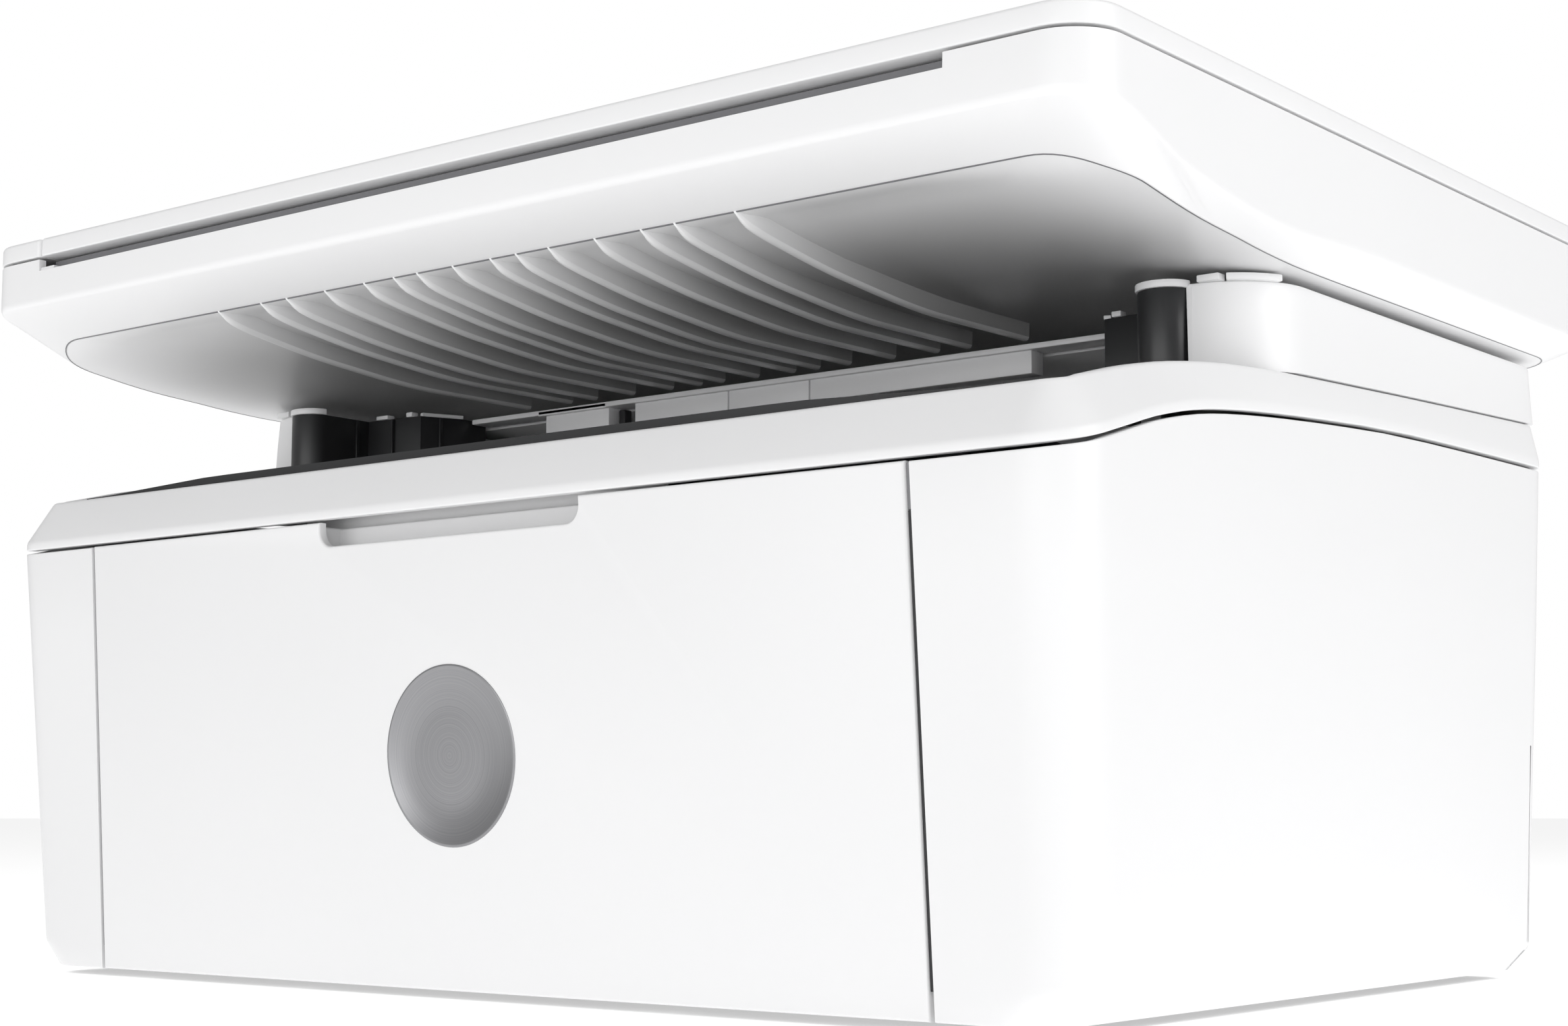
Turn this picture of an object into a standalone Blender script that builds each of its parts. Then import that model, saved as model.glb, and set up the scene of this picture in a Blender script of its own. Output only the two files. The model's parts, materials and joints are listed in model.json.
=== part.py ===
"""Compact laser multifunction printer: a flatbed scanner unit hinged over a print engine, as separate pieces.
Lengths below are in millimetres and are turned into metres where each mesh is made.
X to the right, Y towards the back (front is -Y), Z up; origin on the ground under the centre of the scanner unit."""
import math
import bpy
import bmesh
from mathutils import Matrix, Vector

MM = 0.001
GAP = 0.3                 # gap kept between pieces that touch

# ---- driving dimensions (mm) ----
SCAN_HX, SCAN_HY = 180.0, 132.0      # scanner unit half width and half depth
SCAN_R = 12.0                        # its plan corner radius
SEAM_Z = 193.4                       # seam between lid and scanner base
TOP_Z = 199.0                        # top of the lid
LID_X0 = -154.5                      # joint line between control panel and lid
WALL_Z = 180.7                       # lower edge of the scanner's front wall
BODY_HX = 172.5                      # body half width at the shoulder
BODY_TAPER = 0.045
FRONT_Y, FRONT_LEAN = -127.0, 0.07   # front plane at z = 113.2, leaning back below it
FRONT_Z = 113.2                      # lower edge of the top rim along the front
REAR_Y, REAR_TAPER = 111.4, 0.04
BODY_R = 13.0
DOOR_HX = 132.9
DOOR_Z0 = 2.0
PILLAR_TOP = 160.4
WALL = 2.2                           # plastic wall thickness
LIFT_AXIS = (108.0, 158.0)           # scanner unit hinge (y, z)
LID_AXIS = (129.5, 194.0)
TRAY_AXIS = (-113.5, 8.5)
TONER_AXIS = (-13.0, 124.6)
# gear train (module 1): centres as (y, z)
DRIVE = (40.0, 58.0)
N_DRIVE, N_PINION, N_ROLL, N_IDLER, N_EXIT = 48, 12, 32, 48, 16
GEAR_X0, GEAR_X1 = 123.0, 130.0


def polar(c, r, deg):
    a = math.radians(deg)
    return (c[0] + r * math.cos(a), c[1] + r * math.sin(a))


DRUM = polar(DRIVE, 40.0, 160.0)
FEED = polar(DRIVE, 40.0, 215.0)
PICKUP = polar(FEED, 32.0, 190.0)
FUSER = polar(DRIVE, 40.0, 65.0)
MOTOR = polar(DRIVE, 30.0, -40.0)
EXIT = (8.0, 146.0)
_d = math.hypot(EXIT[0] - FUSER[0], EXIT[1] - FUSER[1])
_a = math.degrees(math.acos((40.0 ** 2 + _d ** 2 - 32.0 ** 2) / (2 * 40.0 * _d)))
_b = math.degrees(math.atan2(EXIT[1] - FUSER[1], EXIT[0] - FUSER[0]))
IDLER = polar(FUSER, 40.0, _b - _a)
PRESS = polar(FUSER, 19.4, -60.0)
TRANSFER = (DRUM[0], DRUM[1] - 18.4)

# ---- start clean ----
for o in list(bpy.data.objects):
    bpy.data.objects.remove(o, do_unlink=True)

WHITE = (0.86, 0.86, 0.87)
CHARCOAL = (0.055, 0.056, 0.06)


def material(name, colour, rough=0.4, metal=0.0):
    m = bpy.data.materials.new(name)
    m.use_nodes = True
    p = m.node_tree.nodes["Principled BSDF"]
    p.inputs["Base Color"].default_value = (*colour, 1.0)
    p.inputs["Roughness"].default_value = rough
    p.inputs["Metallic"].default_value = metal
    return m


def curve_table(x, xs, ys):
    """Smooth monotone interpolation through the stations xs, ys."""
    if x <= xs[0]:
        return ys[0]
    if x >= xs[-1]:
        return ys[-1]
    i = max(k for k in range(len(xs) - 1) if xs[k] <= x)
    d = [(ys[k + 1] - ys[k]) / (xs[k + 1] - xs[k]) for k in range(len(xs) - 1)]

    def slope(k):
        if k == 0:
            return d[0]
        if k == len(xs) - 1:
            return d[-1]
        return 0.0 if d[k - 1] * d[k] <= 0 else 2 * d[k - 1] * d[k] / (d[k - 1] + d[k])
    h = xs[i + 1] - xs[i]
    t = (x - xs[i]) / h
    return ((2 * t ** 3 - 3 * t ** 2 + 1) * ys[i] + (t ** 3 - 2 * t ** 2 + t) * h * slope(i)
            + (-2 * t ** 3 + 3 * t ** 2) * ys[i + 1] + (t ** 3 - t ** 2) * h * slope(i + 1))


# ---- mesh helpers ----
def obj_from(name, bm, mat=None, smooth=True):
    bmesh.ops.recalc_face_normals(bm, faces=bm.faces[:])
    me = bpy.data.meshes.new(name)
    bm.to_mesh(me)
    bm.free()
    me.transform(Matrix.Scale(MM, 4))
    ob = bpy.data.objects.new(name, me)
    bpy.context.scene.collection.objects.link(ob)
    if mat:
        me.materials.append(mat)
    if smooth:
        me.shade_smooth()
        me.set_sharp_from_angle(angle=math.radians(30))
    return ob


def apply_modifiers(ob):
    dg = bpy.context.evaluated_depsgraph_get()
    me = bpy.data.meshes.new_from_object(ob.evaluated_get(dg))
    old = ob.data
    ob.modifiers.clear()
    ob.data = me
    me.name = ob.name
    bpy.data.meshes.remove(old)
    return ob


def boolean(ob, others, op="DIFFERENCE"):
    for c in others:
        m = ob.modifiers.new("b", "BOOLEAN")
        m.operation = op
        m.solver = "EXACT"
        m.object = c
        bpy.context.view_layer.update()
        apply_modifiers(ob)
        if not ob.data.polygons:
            raise RuntimeError("empty after boolean: " + ob.name)
        me = c.data
        bpy.data.objects.remove(c, do_unlink=True)
        bpy.data.meshes.remove(me)
    ob.data.shade_smooth()
    ob.data.set_sharp_from_angle(angle=math.radians(30))
    return ob


def cut(ob, *cs):
    return boolean(ob, cs, "DIFFERENCE")


def join(ob, *cs):
    return boolean(ob, cs, "UNION")


def box(name, x0, x1, y0, y1, z0, z1, mat=None, bevel=0.0):
    bm = bmesh.new()
    bmesh.ops.create_cube(bm, size=1.0)
    for v in bm.verts:
        v.co.x = x0 if v.co.x < 0 else x1
        v.co.y = y0 if v.co.y < 0 else y1
        v.co.z = z0 if v.co.z < 0 else z1
    if bevel:
        bmesh.ops.bevel(bm, geom=bm.edges[:], offset=bevel, segments=1, affect="EDGES", profile=0.5)
    return obj_from(name, bm, mat)


def prism(name, pts, lo, hi, axis="Z", mat=None):
    """Extrude a closed outline. axis Z: pts are (x, y); X: pts are (y, z); Y: pts are (x, z)."""
    def place(p, h):
        if axis == "Z":
            return (p[0], p[1], h)
        if axis == "X":
            return (h, p[0], p[1])
        return (p[0], h, p[1])
    bm = bmesh.new()
    a = [bm.verts.new(place(p, lo)) for p in pts]
    b = [bm.verts.new(place(p, hi)) for p in pts]
    n = len(pts)
    bm.faces.new(a)
    bm.faces.new(b[::-1])
    for i in range(n):
        bm.faces.new((a[i], b[i], b[(i + 1) % n], a[(i + 1) % n]))
    return obj_from(name, bm, mat)


def lathe_x(name, c, profile, n=18, mat=None):
    """Solid of revolution about the X-parallel line through c = (y, z); profile is (x, r) from left to right."""
    bm = bmesh.new()
    rings = []
    for x, r in profile:
        rings.append([bm.verts.new((x, c[0] + r * math.cos(2 * math.pi * k / n),
                                    c[1] + r * math.sin(2 * math.pi * k / n))) for k in range(n)])
    bm.faces.new(rings[0])
    bm.faces.new(rings[-1][::-1])
    for a, b in zip(rings, rings[1:]):
        for k in range(n):
            bm.faces.new((a[k], b[k], b[(k + 1) % n], a[(k + 1) % n]))
    return obj_from(name, bm, mat)


def cyl(name, centre, r, lo, hi, axis="X", n=18, mat=None):
    pts = [(centre[0] + r * math.cos(2 * math.pi * (k + 0.5) / n), centre[1] + r * math.sin(2 * math.pi * (k + 0.5) / n))
           for k in range(n)]
    return prism(name, pts, lo, hi, axis, mat)


def gear_outline(c, n, phase, add=0.8, ded=1.25):
    """Spur gear of module 1 with straight-sided teeth, thinned for backlash."""
    r = n / 2.0
    pts = []
    for k in range(n):
        a = phase + 2 * math.pi * k / n
        for rad, half in ((r - ded, 0.95), (r + add, 0.36)):
            pts.append((rad, a - half / r))
        for rad, half in ((r + add, 0.36), (r - ded, 0.95)):
            pts.append((rad, a + half / r))
    return [(c[0] + q * math.cos(t), c[1] + q * math.sin(t)) for q, t in pts]


def mesh_phase(ca, na, pa, cb, nb):
    """Phase of gear b that puts its gap opposite gear a's tooth."""
    phi = math.atan2(cb[1] - ca[1], cb[0] - ca[0])
    frac = (phi - pa) * na / (2 * math.pi)
    return phi + math.pi - (2 * math.pi / nb) * (0.5 - frac)


def rrect(x0, x1, y0, y1, r, seg=5, ys=(), xs=()):
    """Closed outline from the front right corner round to the front edge again (anticlockwise)."""
    rs = r if isinstance(r, (tuple, list)) else (r, r, r, r)   # front right, rear right, rear left, front left
    out = []

    def arc(cx, cy, rad, a0):
        for k in range(seg + 1):
            a = math.radians(a0 + 90.0 * k / seg)
            out.append((cx + rad * math.cos(a), cy + rad * math.sin(a)))
    arc(x1 - rs[0], y0 + rs[0], rs[0], -90)
    out.extend((x1, y) for y in ys)
    arc(x1 - rs[1], y1 - rs[1], rs[1], 0)
    out.extend((x, y1) for x in sorted(xs, reverse=True))
    arc(x0 + rs[2], y1 - rs[2], rs[2], 90)
    out.extend((x0, y) for y in reversed(ys))
    arc(x0 + rs[3], y0 + rs[3], rs[3], 180)
    out.extend((x, y0) for x in sorted(xs))
    return out


def loft(name, outer, inner, closed, mat=None, cap=None):
    """Shell between two stacks of rows. Each row is a list of 3D points; rows match between the stacks.
    cap=(po, pi): the last outer and inner rows close onto these points."""
    bm = bmesh.new()
    O = [[bm.verts.new(p) for p in row] for row in outer]
    I = [[bm.verts.new(p) for p in row] for row in inner]
    n = len(outer[0])
    rng = range(n) if closed else range(n - 1)

    def strip(a, b):
        for k in rng:
            j = (k + 1) % n
            bm.faces.new((a[k], a[j], b[j], b[k]))
    for a, b in zip(O, O[1:]):
        strip(a, b)
    for a, b in zip(I, I[1:]):
        strip(b, a)
    strip(I[0], O[0])
    if cap:
        for rows, p in ((O, cap[0]), (I, cap[1])):
            c = bm.verts.new(p)
            for k in range(n):
                bm.faces.new((rows[-1][k], rows[-1][(k + 1) % n], c))
    else:
        strip(O[-1], I[-1])
    if not closed:
        for k in (0, n - 1):
            for i in range(len(O) - 1):
                bm.faces.new((O[i][k], O[i + 1][k], I[i + 1][k], I[i][k]))
    return obj_from(name, bm, mat)


def offset_path(pts, d):
    """Open plan path moved sideways by d (to the left of travel)."""
    out = []
    for i, p in enumerate(pts):
        a = pts[max(i - 1, 0)]
        b = pts[min(i + 1, len(pts) - 1)]
        n1 = Vector((p[0] - a[0], p[1] - a[1])) if i else Vector((b[0] - p[0], b[1] - p[1]))
        n2 = Vector((b[0] - p[0], b[1] - p[1])) if i < len(pts) - 1 else n1
        n1.normalize()
        n2.normalize()
        m = Vector((-(n1.y + n2.y), n1.x + n2.x))
        m.normalize()
        k = d / max(0.4, m.dot(Vector((-n1.y, n1.x))))
        out.append((p[0] + m.x * k, p[1] + m.y * k))
    return out


def mirror_pts(rows):
    return [[(-p[0], p[1], p[2]) for p in row] for row in rows]


# ---- body outline functions ----
def body_hx(z):
    return BODY_HX - BODY_TAPER * (132.0 - z)


def front_y(z):
    return FRONT_Y + FRONT_LEAN * (FRONT_Z - z)


def rear_y(z):
    return REAR_Y - REAR_TAPER * (132.4 - z)


RIM_Y = (-127.0, -120.0, -110.0, -93.0, -75.0, -54.0, -20.0, 20.0, 65.0, 110.0)
RIM_LOW = (113.2, 114.5, 117.2, 122.0, 125.4, 127.6, 129.9, 131.7, 132.3, 132.6)
TOP_Y = (-127.0, -118.0, -95.0, -80.0, -62.0, -45.0, 0.0, 35.0, 112.0)
TOP_H = (127.5, 128.2, 133.3, 136.0, 138.0, 139.0, 140.9, 142.3, 145.0)
BEV_Y = (-127.0, -115.0, -95.0, -80.0, -60.0, -40.0)
BEV_B = (7.0, 7.0, 6.4, 5.0, 3.2, 2.0)
SIDE_YS = (-105.0, -93.0, -80.0, -66.0, -50.0, -25.0, 10.0, 60.0)


def rim_low(y):
    return curve_table(y, RIM_Y, RIM_LOW)


def rim_top(y):
    return curve_table(y, TOP_Y, TOP_H)


# ============ body: pan, feet, covers ============
white = lambda n: material(n, WHITE, 0.22)
pan = box("base_pan", -157.0, 157.0, -103.0, 100.8, 2.3, 6.0, material("base_pan", (0.12, 0.12, 0.13), 0.6))
join(pan, box("c", -156, 156, 30.0, 32.0, 5.0, 9.0), box("c", -115, -112.8, -100, 88, 5.0, 7.8),
     box("c", 112.8, 115, -100, 88, 5.0, 7.8))

for nm, fx, fy in (("foot_front_left", -138, -88), ("foot_front_right", 138, -88), ("foot_rear_left", -138, 88), ("foot_rear_right", 138, 88)):
    cyl(nm, (fx, fy), 8.0, 0.0, 2.0, "Z", 20, material(nm, (0.03, 0.03, 0.03), 0.8))


def side_path(z, inset, chamfer):
    """Right-hand cover in plan at height z, from the door's edge round to the back."""
    hx = body_hx(z) - chamfer - inset
    y0, y1 = front_y(z) + inset, rear_y(z) - inset
    r0, r1 = BODY_R - inset, 8.0 - inset
    pts = [(DOOR_HX + 0.7, y0), (150.0 - chamfer, y0)]
    for k in range(7):
        a = math.radians(-90 + 15 * k)
        pts.append((hx - r0 + r0 * math.cos(a), y0 + r0 + r0 * math.sin(a)))
    pts.extend((hx, y) for y in SIDE_YS)
    for k in range(5):
        a = math.radians(22.5 * k)
        pts.append((hx - r1 + r1 * math.cos(a), y1 - r1 + r1 * math.sin(a)))
    pts.append((140.6, y1))
    return pts


def side_rows(inset):
    rows = []
    for z, ch in ((DOOR_Z0, 6.0), (8.5, 0.0), (60.0, 0.0)):
        rows.append([(x, y, z) for x, y in side_path(z, inset, ch)])
    top = []
    for (x, y), (xo, yo) in zip(side_path(FRONT_Z, inset, 0.0), side_path(FRONT_Z, 0.0, 0.0)):
        z = rim_low(yo) - 0.4
        hx0, hx1 = body_hx(FRONT_Z), body_hx(z)
        f = max(0.0, min(1.0, (xo - 150.0) / (hx0 - 150.0)))
        top.append((x + f * (hx1 - hx0), y, z))
    rows.append(top)
    return rows


o_rows, i_rows = side_rows(0.0), side_rows(WALL)
loft("right_side_cover", o_rows, i_rows, False, white("right_side_cover"))
loft("left_side_cover", mirror_pts(o_rows), mirror_pts(i_rows), False, white("left_side_cover"))

# rear cover: slanted plate with vents and connector openings
rc = prism("rear_cover", [(rear_y(3.0) - WALL, 3.0), (rear_y(3.0), 3.0), (rear_y(131.6), 131.6), (rear_y(131.6) - WALL, 131.6)],
           -140.0, 140.0, "X", white("rear_cover"))
cut(rc, *[box("c", -70 + 16 * k, -62 + 16 * k, 100, 118, 84.0, 116.0) for k in range(9)])
cut(rc, box("c", 97.4, 126.6, 100, 118, 17.4, 42.6), box("c", -120.6, -103.4, 100, 118, 51.4, 68.6))
# top rim: a closed ring whose section varies round the body
def rim_rows(seg=5, ys=SIDE_YS):
    def outline(inset):
        return rrect(-body_hx(FRONT_Z) + inset, body_hx(FRONT_Z) - inset, front_y(FRONT_Z) + inset,
                     rear_y(FRONT_Z) + 0.8 - inset, (BODY_R - inset, 8.5 - inset, 8.5 - inset, BODY_R - inset)
                     if inset < 8 else (5.0, 1.0, 1.0, 5.0), seg, ys)
    base = outline(0.0)
    rows = [[] for _ in range(6)]
    for k, (x, y) in enumerate(base):
        zl, zt = rim_low(y) + 0.5, rim_top(y)
        b = curve_table(y, BEV_Y, BEV_B)
        spread = (body_hx(zl) - body_hx(FRONT_Z)) * (x / body_hx(FRONT_Z))
        for row, (ins, z) in zip(rows, ((0.0, zl), (0.0, zl + 2.0), (b, zt), (b + 2.5, zt), (b + 2.5, zt - 4.0), (2.4, zl))):
            px, py = outline(ins)[k]
            row.append((px + spread, py, z))
    return rows


rim = rim_rows()
bm = bmesh.new()
R = [[bm.verts.new(p) for p in row] for row in rim]
n = len(rim[0])
for i in range(6):
    a, b = R[i], R[(i + 1) % 6]
    for k in range(n):
        j = (k + 1) % n
        bm.faces.new((a[k], a[j], b[j], b[k]))
obj_from("top_cover_rim", bm, white("top_cover_rim"))


# pillar covers: white walls with a top, standing on the rim
def pillar_path(z, inset):
    hx = 170.5 - 0.045 * (z - 143.0) - inset
    y0, y1 = -45.0 + 0.06 * (z - 140) + inset, 112.0 - inset
    r0, r1 = 19.0 - inset, 7.0 - inset
    pts = [(152.3 + inset, y0)]
    for k in range(7):
        a = math.radians(-90 + 15 * k)
        pts.append((hx - r0 + r0 * math.cos(a), y0 + r0 + r0 * math.sin(a)))
    pts.extend((hx, y) for y in (0.0, 50.0))
    for k in range(5):
        a = math.radians(22.5 * k)
        pts.append((hx - r1 + r1 * math.cos(a), y1 - r1 + r1 * math.sin(a)))
    pts.append((143.5 + inset, y1))
    return pts


def pillar_rows(inset):
    lo = [(x, y, rim_top(yo) + GAP) for (x, y), (xo, yo) in zip(pillar_path(143.0, inset), pillar_path(143.0, 0.0))]
    top = PILLAR_TOP - inset
    return [lo, [(x, y, 152.0) for x, y in pillar_path(152.0, inset)], [(x, y, top) for x, y in pillar_path(top, inset)]]


def mirror_copy(src, name, mat):
    """The same piece for the other side, mirrored in X."""
    me = bpy.data.objects[src].data.copy()
    me.name = name
    me.transform(Matrix.Diagonal((-1.0, 1.0, 1.0, 1.0)))
    me.flip_normals()
    ob = bpy.data.objects.new(name, me)
    bpy.context.scene.collection.objects.link(ob)
    me.materials.clear()
    me.materials.append(mat)
    return ob


loft("right_pillar_cover", pillar_rows(0.0), pillar_rows(WALL), True, white("right_pillar_cover"),
     cap=((158.0, 33.0, PILLAR_TOP), (158.0, 33.0, PILLAR_TOP - WALL)))
mirror_copy("right_pillar_cover", "left_pillar_cover", white("left_pillar_cover"))

# pillar liners: charcoal walls and the deck between rim and bin
path = [(150.8, -33.0), (150.8, -42.5), (148.9, -46.6), (144.5, -48.2), (140.2, -46.6), (138.2, -42.5), (138.2, -26.0), (117.6, -24.0),
        (112.6, -12.0), (112.6, -2.0)]
pl = prism("right_pillar_liner", path + offset_path(path, -1.8)[::-1], 136.0, 159.6, "Z", material("right_pillar_liner", CHARCOAL, 0.35))
ys = (-111.0, -95.0, -80.0, -62.0, -45.0, -10.0, 40.0, 106.0)
bm = bmesh.new()
T = [[bm.verts.new((x, y, rim_top(y) - 1.6)) for x in (131.0, body_hx(130) - curve_table(y, BEV_Y, BEV_B) - 4.2)] for y in ys]
B = [[bm.verts.new((v.co.x, v.co.y, v.co.z - 2.0)) for v in row] for row in T]
for i in range(len(ys) - 1):
    bm.faces.new((T[i][0], T[i][1], T[i + 1][1], T[i + 1][0]))
    bm.faces.new((B[i][0], B[i + 1][0], B[i + 1][1], B[i][1]))
    for k in (0, 1):
        bm.faces.new((T[i][k], T[i + 1][k], B[i + 1][k], B[i][k]))
for i in (0, -1):
    bm.faces.new((T[i][0], T[i][1], B[i][1], B[i][0]))
join(pl, obj_from("c", bm))
mirror_copy("right_pillar_liner", "left_pillar_liner", material("left_pillar_liner", CHARCOAL, 0.35))

# centre top cover under the scanner, with its rear wall
ct = box("center_top_cover", -134.0, 134.0, 0.0, 104.0, 157.6, 159.8, white("center_top_cover"))
join(ct, box("c", -134.0, 134.0, 101.6, 103.8, 146.0, 158.6))

# exit guide: flanged bar over the paper exit, with a gap for the sensor flag
eg = box("exit_guide", -116.0, 111.0 + 5.0, -9.0, -1.0, 158.0, 159.6, material("exit_guide", (0.5, 0.5, 0.51), 0.4))
for s in (-1, 1):
    cut(eg, box("c", min(s * 111.6, s * 120), max(s * 111.6, s * 120), -12.6, 0, 150, 165))
join(eg, box("c", -84.0, -57.0, -7.6, -2.0, 152.2, 158.6), box("c", -49.5, 84.0, -7.6, -2.0, 152.2, 158.6))
box("exit_sensor_flag", -54.6, -52.2, -6.0, -3.0, 141.0, 157.2, material("exit_sensor_flag", (0.02, 0.02, 0.02), 0.4))

# ============ steel frame plates ============
plate = [(-95, 9), (88, 9), (88, 124), (64, 124), (64, 156), (1, 156), (1, 120), (-95, 120)]
shafts = [(DRUM, 4.0), (FEED, 3.6), (PICKUP, 3.6), (FUSER, 4.6), (PRESS, 4.6), (TRANSFER, 3.6), (EXIT, 3.6)]
for side, sx in (("right", 1), ("left", -1)):
    pts = plate
    fp = prism(side + "_frame_plate", pts, min(sx * 118.2, sx * 119.7), max(sx * 118.2, sx * 119.7), "X",
               material(side + "_frame_plate", (0.55, 0.56, 0.57), 0.35, 1.0))
    cut(fp, *[cyl("c", c, r, 110 * sx if sx > 0 else -130, 130 if sx > 0 else -110, "X", 14) for c, r in shafts])
    cut(fp, box("c", min(sx * 110, sx * 130), max(sx * 110, sx * 130), -94.0 + 30, -94.0 + 30 + 22, 60.0, 100.0))

# ============ front door ============
def door_outline(seg=4):
    """Door seen from the front (x, z): notch for the handle in its top edge."""
    z1 = FRONT_Z - 0.2
    pts = [(-DOOR_HX, DOOR_Z0), (DOOR_HX, DOOR_Z0), (DOOR_HX, z1), (43.0, z1)]
    r = 4.0
    for k in range(seg + 1):
        a = math.radians(-90.0 * k / seg)
        pts.append((43.0 - r + r * math.cos(a), 107.0 + r + r * math.sin(a)))
    for k in range(seg + 1):
        a = math.radians(-90 - 90.0 * k / seg)
        pts.append((-43.0 + r + r * math.cos(a), 107.0 + r + r * math.sin(a)))
    pts.append((-43.0, z1))
    return pts


def door_solid(name, depth, mat, outline):
    bm = bmesh.new()
    f = [bm.verts.new((x, front_y(z), z)) for x, z in outline]
    b = [bm.verts.new((x, front_y(z) + depth, z)) for x, z in outline]
    m = len(outline)
    bm.faces.new(f)
    bm.faces.new(b[::-1])
    for i in range(m):
        bm.faces.new((f[i], b[i], b[(i + 1) % m], f[(i + 1) % m]))
    return obj_from(name, bm, mat)


door = door_solid("front_door", 2.4, white("front_door"), door_outline())
join(door, *[prism("c", [(front_y(12) + 1.2, 6.0), (front_y(100) + 1.2, 100.0), (front_y(100) + 4.6, 100.0), (TRAY_AXIS[0] + 2.5, 12.0),
                         (TRAY_AXIS[0] + 2.5, 6.0)], x - 1.2, x + 1.2, "X") for x in (-120.0, -60.0, 60.0, 120.0)])

# handle pocket behind the notch: open at its front and top
pocket = prism("door_handle_pocket", [(front_y(104) + 2.9, 103.8), (-116.4, 103.8), (-116.4, 112.4), (front_y(112.4) + 2.9, 112.4)], -48.0, 48.0,
           "X", material("door_handle_pocket", (0.62, 0.62, 0.63), 0.35))
cut(pocket, box("c", -44.5, 44.5, -130.0, -118.2, 106.6, 120.0))

# ============ toner access door (bin floor) ============
BIN = ((-115.6, 126.2), (-109.0, 128.9), (-99.0, 131.2), (-88.0, 132.6), (-75.0, 133.2), (-60.0, 132.8), (-42.0, 130.8), (-26.0, 128.4), (-13.0, 126.8))
td = prism("toner_access_door", list(BIN) + [(y, z - 2.2) for y, z in reversed(BIN)], -130.0, 130.0, "X",
           material("toner_access_door", CHARCOAL, 0.4))
cut(td, box("c", 110.0, 140, -49.0, 0, 110, 150), box("c", -140, -110.0, -49.0, 0, 110, 150))

# ============ print engine ============
BLACK = (0.03, 0.03, 0.032)
cart = prism("toner_cartridge", [(-56, 66), (-12.5, 66), (-12, 86.5), (20, 86.5), (20, 100), (0, 117), (-56, 112)], -112.0, 112.0, "X",
             material("toner_cartridge", BLACK, 0.5))
join(cart, box("c", -35, 35, -50, -30, 108, 120.5))
dr_phase = 0.0
ph = {}
for key, c, nn in (("drum", DRUM, N_ROLL), ("feed", FEED, N_ROLL), ("fuser", FUSER, N_ROLL), ("motor", MOTOR, N_PINION)):
    ph[key] = mesh_phase(DRIVE, N_DRIVE, dr_phase, c, nn)
ph["pickup"] = mesh_phase(FEED, N_ROLL, ph["feed"], PICKUP, N_ROLL)
ph["idler"] = mesh_phase(FUSER, N_ROLL, ph["fuser"], IDLER, N_IDLER)
ph["exit"] = mesh_phase(IDLER, N_IDLER, ph["idler"], EXIT, N_EXIT)


def gear(name, c, nn, phase, mat=None, x0=GEAR_X0, x1=GEAR_X1):
    return prism(name, gear_outline(c, nn, phase), x0, x1, "X", mat)


GEARM = (0.75, 0.74, 0.7)
dg = gear("drive_gear", DRIVE, N_DRIVE, dr_phase, material("drive_gear", GEARM, 0.5))
join(dg, cyl("c", DRIVE, 3.0, 120.1, 134.0, "X", 12))
mp = gear("motor_pinion", MOTOR, N_PINION, ph["motor"], material("motor_pinion", (0.7, 0.6, 0.3), 0.35, 1.0))
ig = gear("exit_idler_gear", IDLER, N_IDLER, ph["idler"], material("exit_idler_gear", GEARM, 0.5))
join(ig, cyl("c", IDLER, 3.0, 120.1, 134.0, "X", 12))

drum = lathe_x("photo_drum", DRUM, [(-121.5, 3.0), (-112.0, 3.0), (-112.0, 12.0), (112.0, 12.0), (112.0, 3.0), (124.0, 3.0)], 24,
               material("photo_drum", (0.05, 0.3, 0.25), 0.15))
join(drum, gear("c", DRUM, N_ROLL, ph["drum"]))
lathe_x("transfer_roller", TRANSFER, [(-121.5, 2.6), (-109.0, 2.6), (-109.0, 6.0), (109.0, 6.0), (109.0, 2.6), (121.5, 2.6)], 16,
        material("transfer_roller", (0.05, 0.05, 0.05), 0.9))
feed = lathe_x("feed_roller", FEED, [(-121.5, 2.6), (-106.0, 2.6), (-106.0, 7.0), (106.0, 7.0), (106.0, 2.6), (124.0, 2.6)], 16,
               material("feed_roller", (0.06, 0.06, 0.06), 0.8))
join(feed, gear("c", FEED, N_ROLL, ph["feed"]))
pk = lathe_x("pickup_roller", PICKUP, [(-121.5, 2.6), (-20.0, 2.6), (-20.0, 11.4), (20.0, 11.4), (20.0, 2.6), (124.0, 2.6)], 20,
             material("pickup_roller", (0.08, 0.08, 0.085), 0.85))
join(pk, gear("c", PICKUP, N_ROLL, ph["pickup"]))
box("separation_pad", -18.0, 18.0, -26.0, -10.0, 6.4, 17.2, material("separation_pad", (0.3, 0.12, 0.06), 0.9))
heat = lathe_x("heat_roller", FUSER, [(-121.5, 3.6), (-110.0, 3.6), (-110.0, 9.0), (110.0, 9.0), (110.0, 3.6), (124.0, 3.6)], 20,
               material("heat_roller", (0.07, 0.06, 0.06), 0.3))
join(heat, gear("c", FUSER, N_ROLL, ph["fuser"]))
lathe_x("pressure_roller", PRESS, [(-121.5, 3.6), (-110.0, 3.6), (-110.0, 10.0), (110.0, 10.0), (110.0, 3.6), (121.5, 3.6)], 20,
        material("pressure_roller", (0.45, 0.16, 0.1), 0.6))
ff = prism("fuser_frame", [(41, 60), (84, 60), (84, 108), (81.5, 108), (81.5, 62.5), (43.5, 62.5), (43.5, 108), (41, 108)], -113.0, 113.0,
           "X", material("fuser_frame", (0.18, 0.18, 0.19), 0.5))
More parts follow.
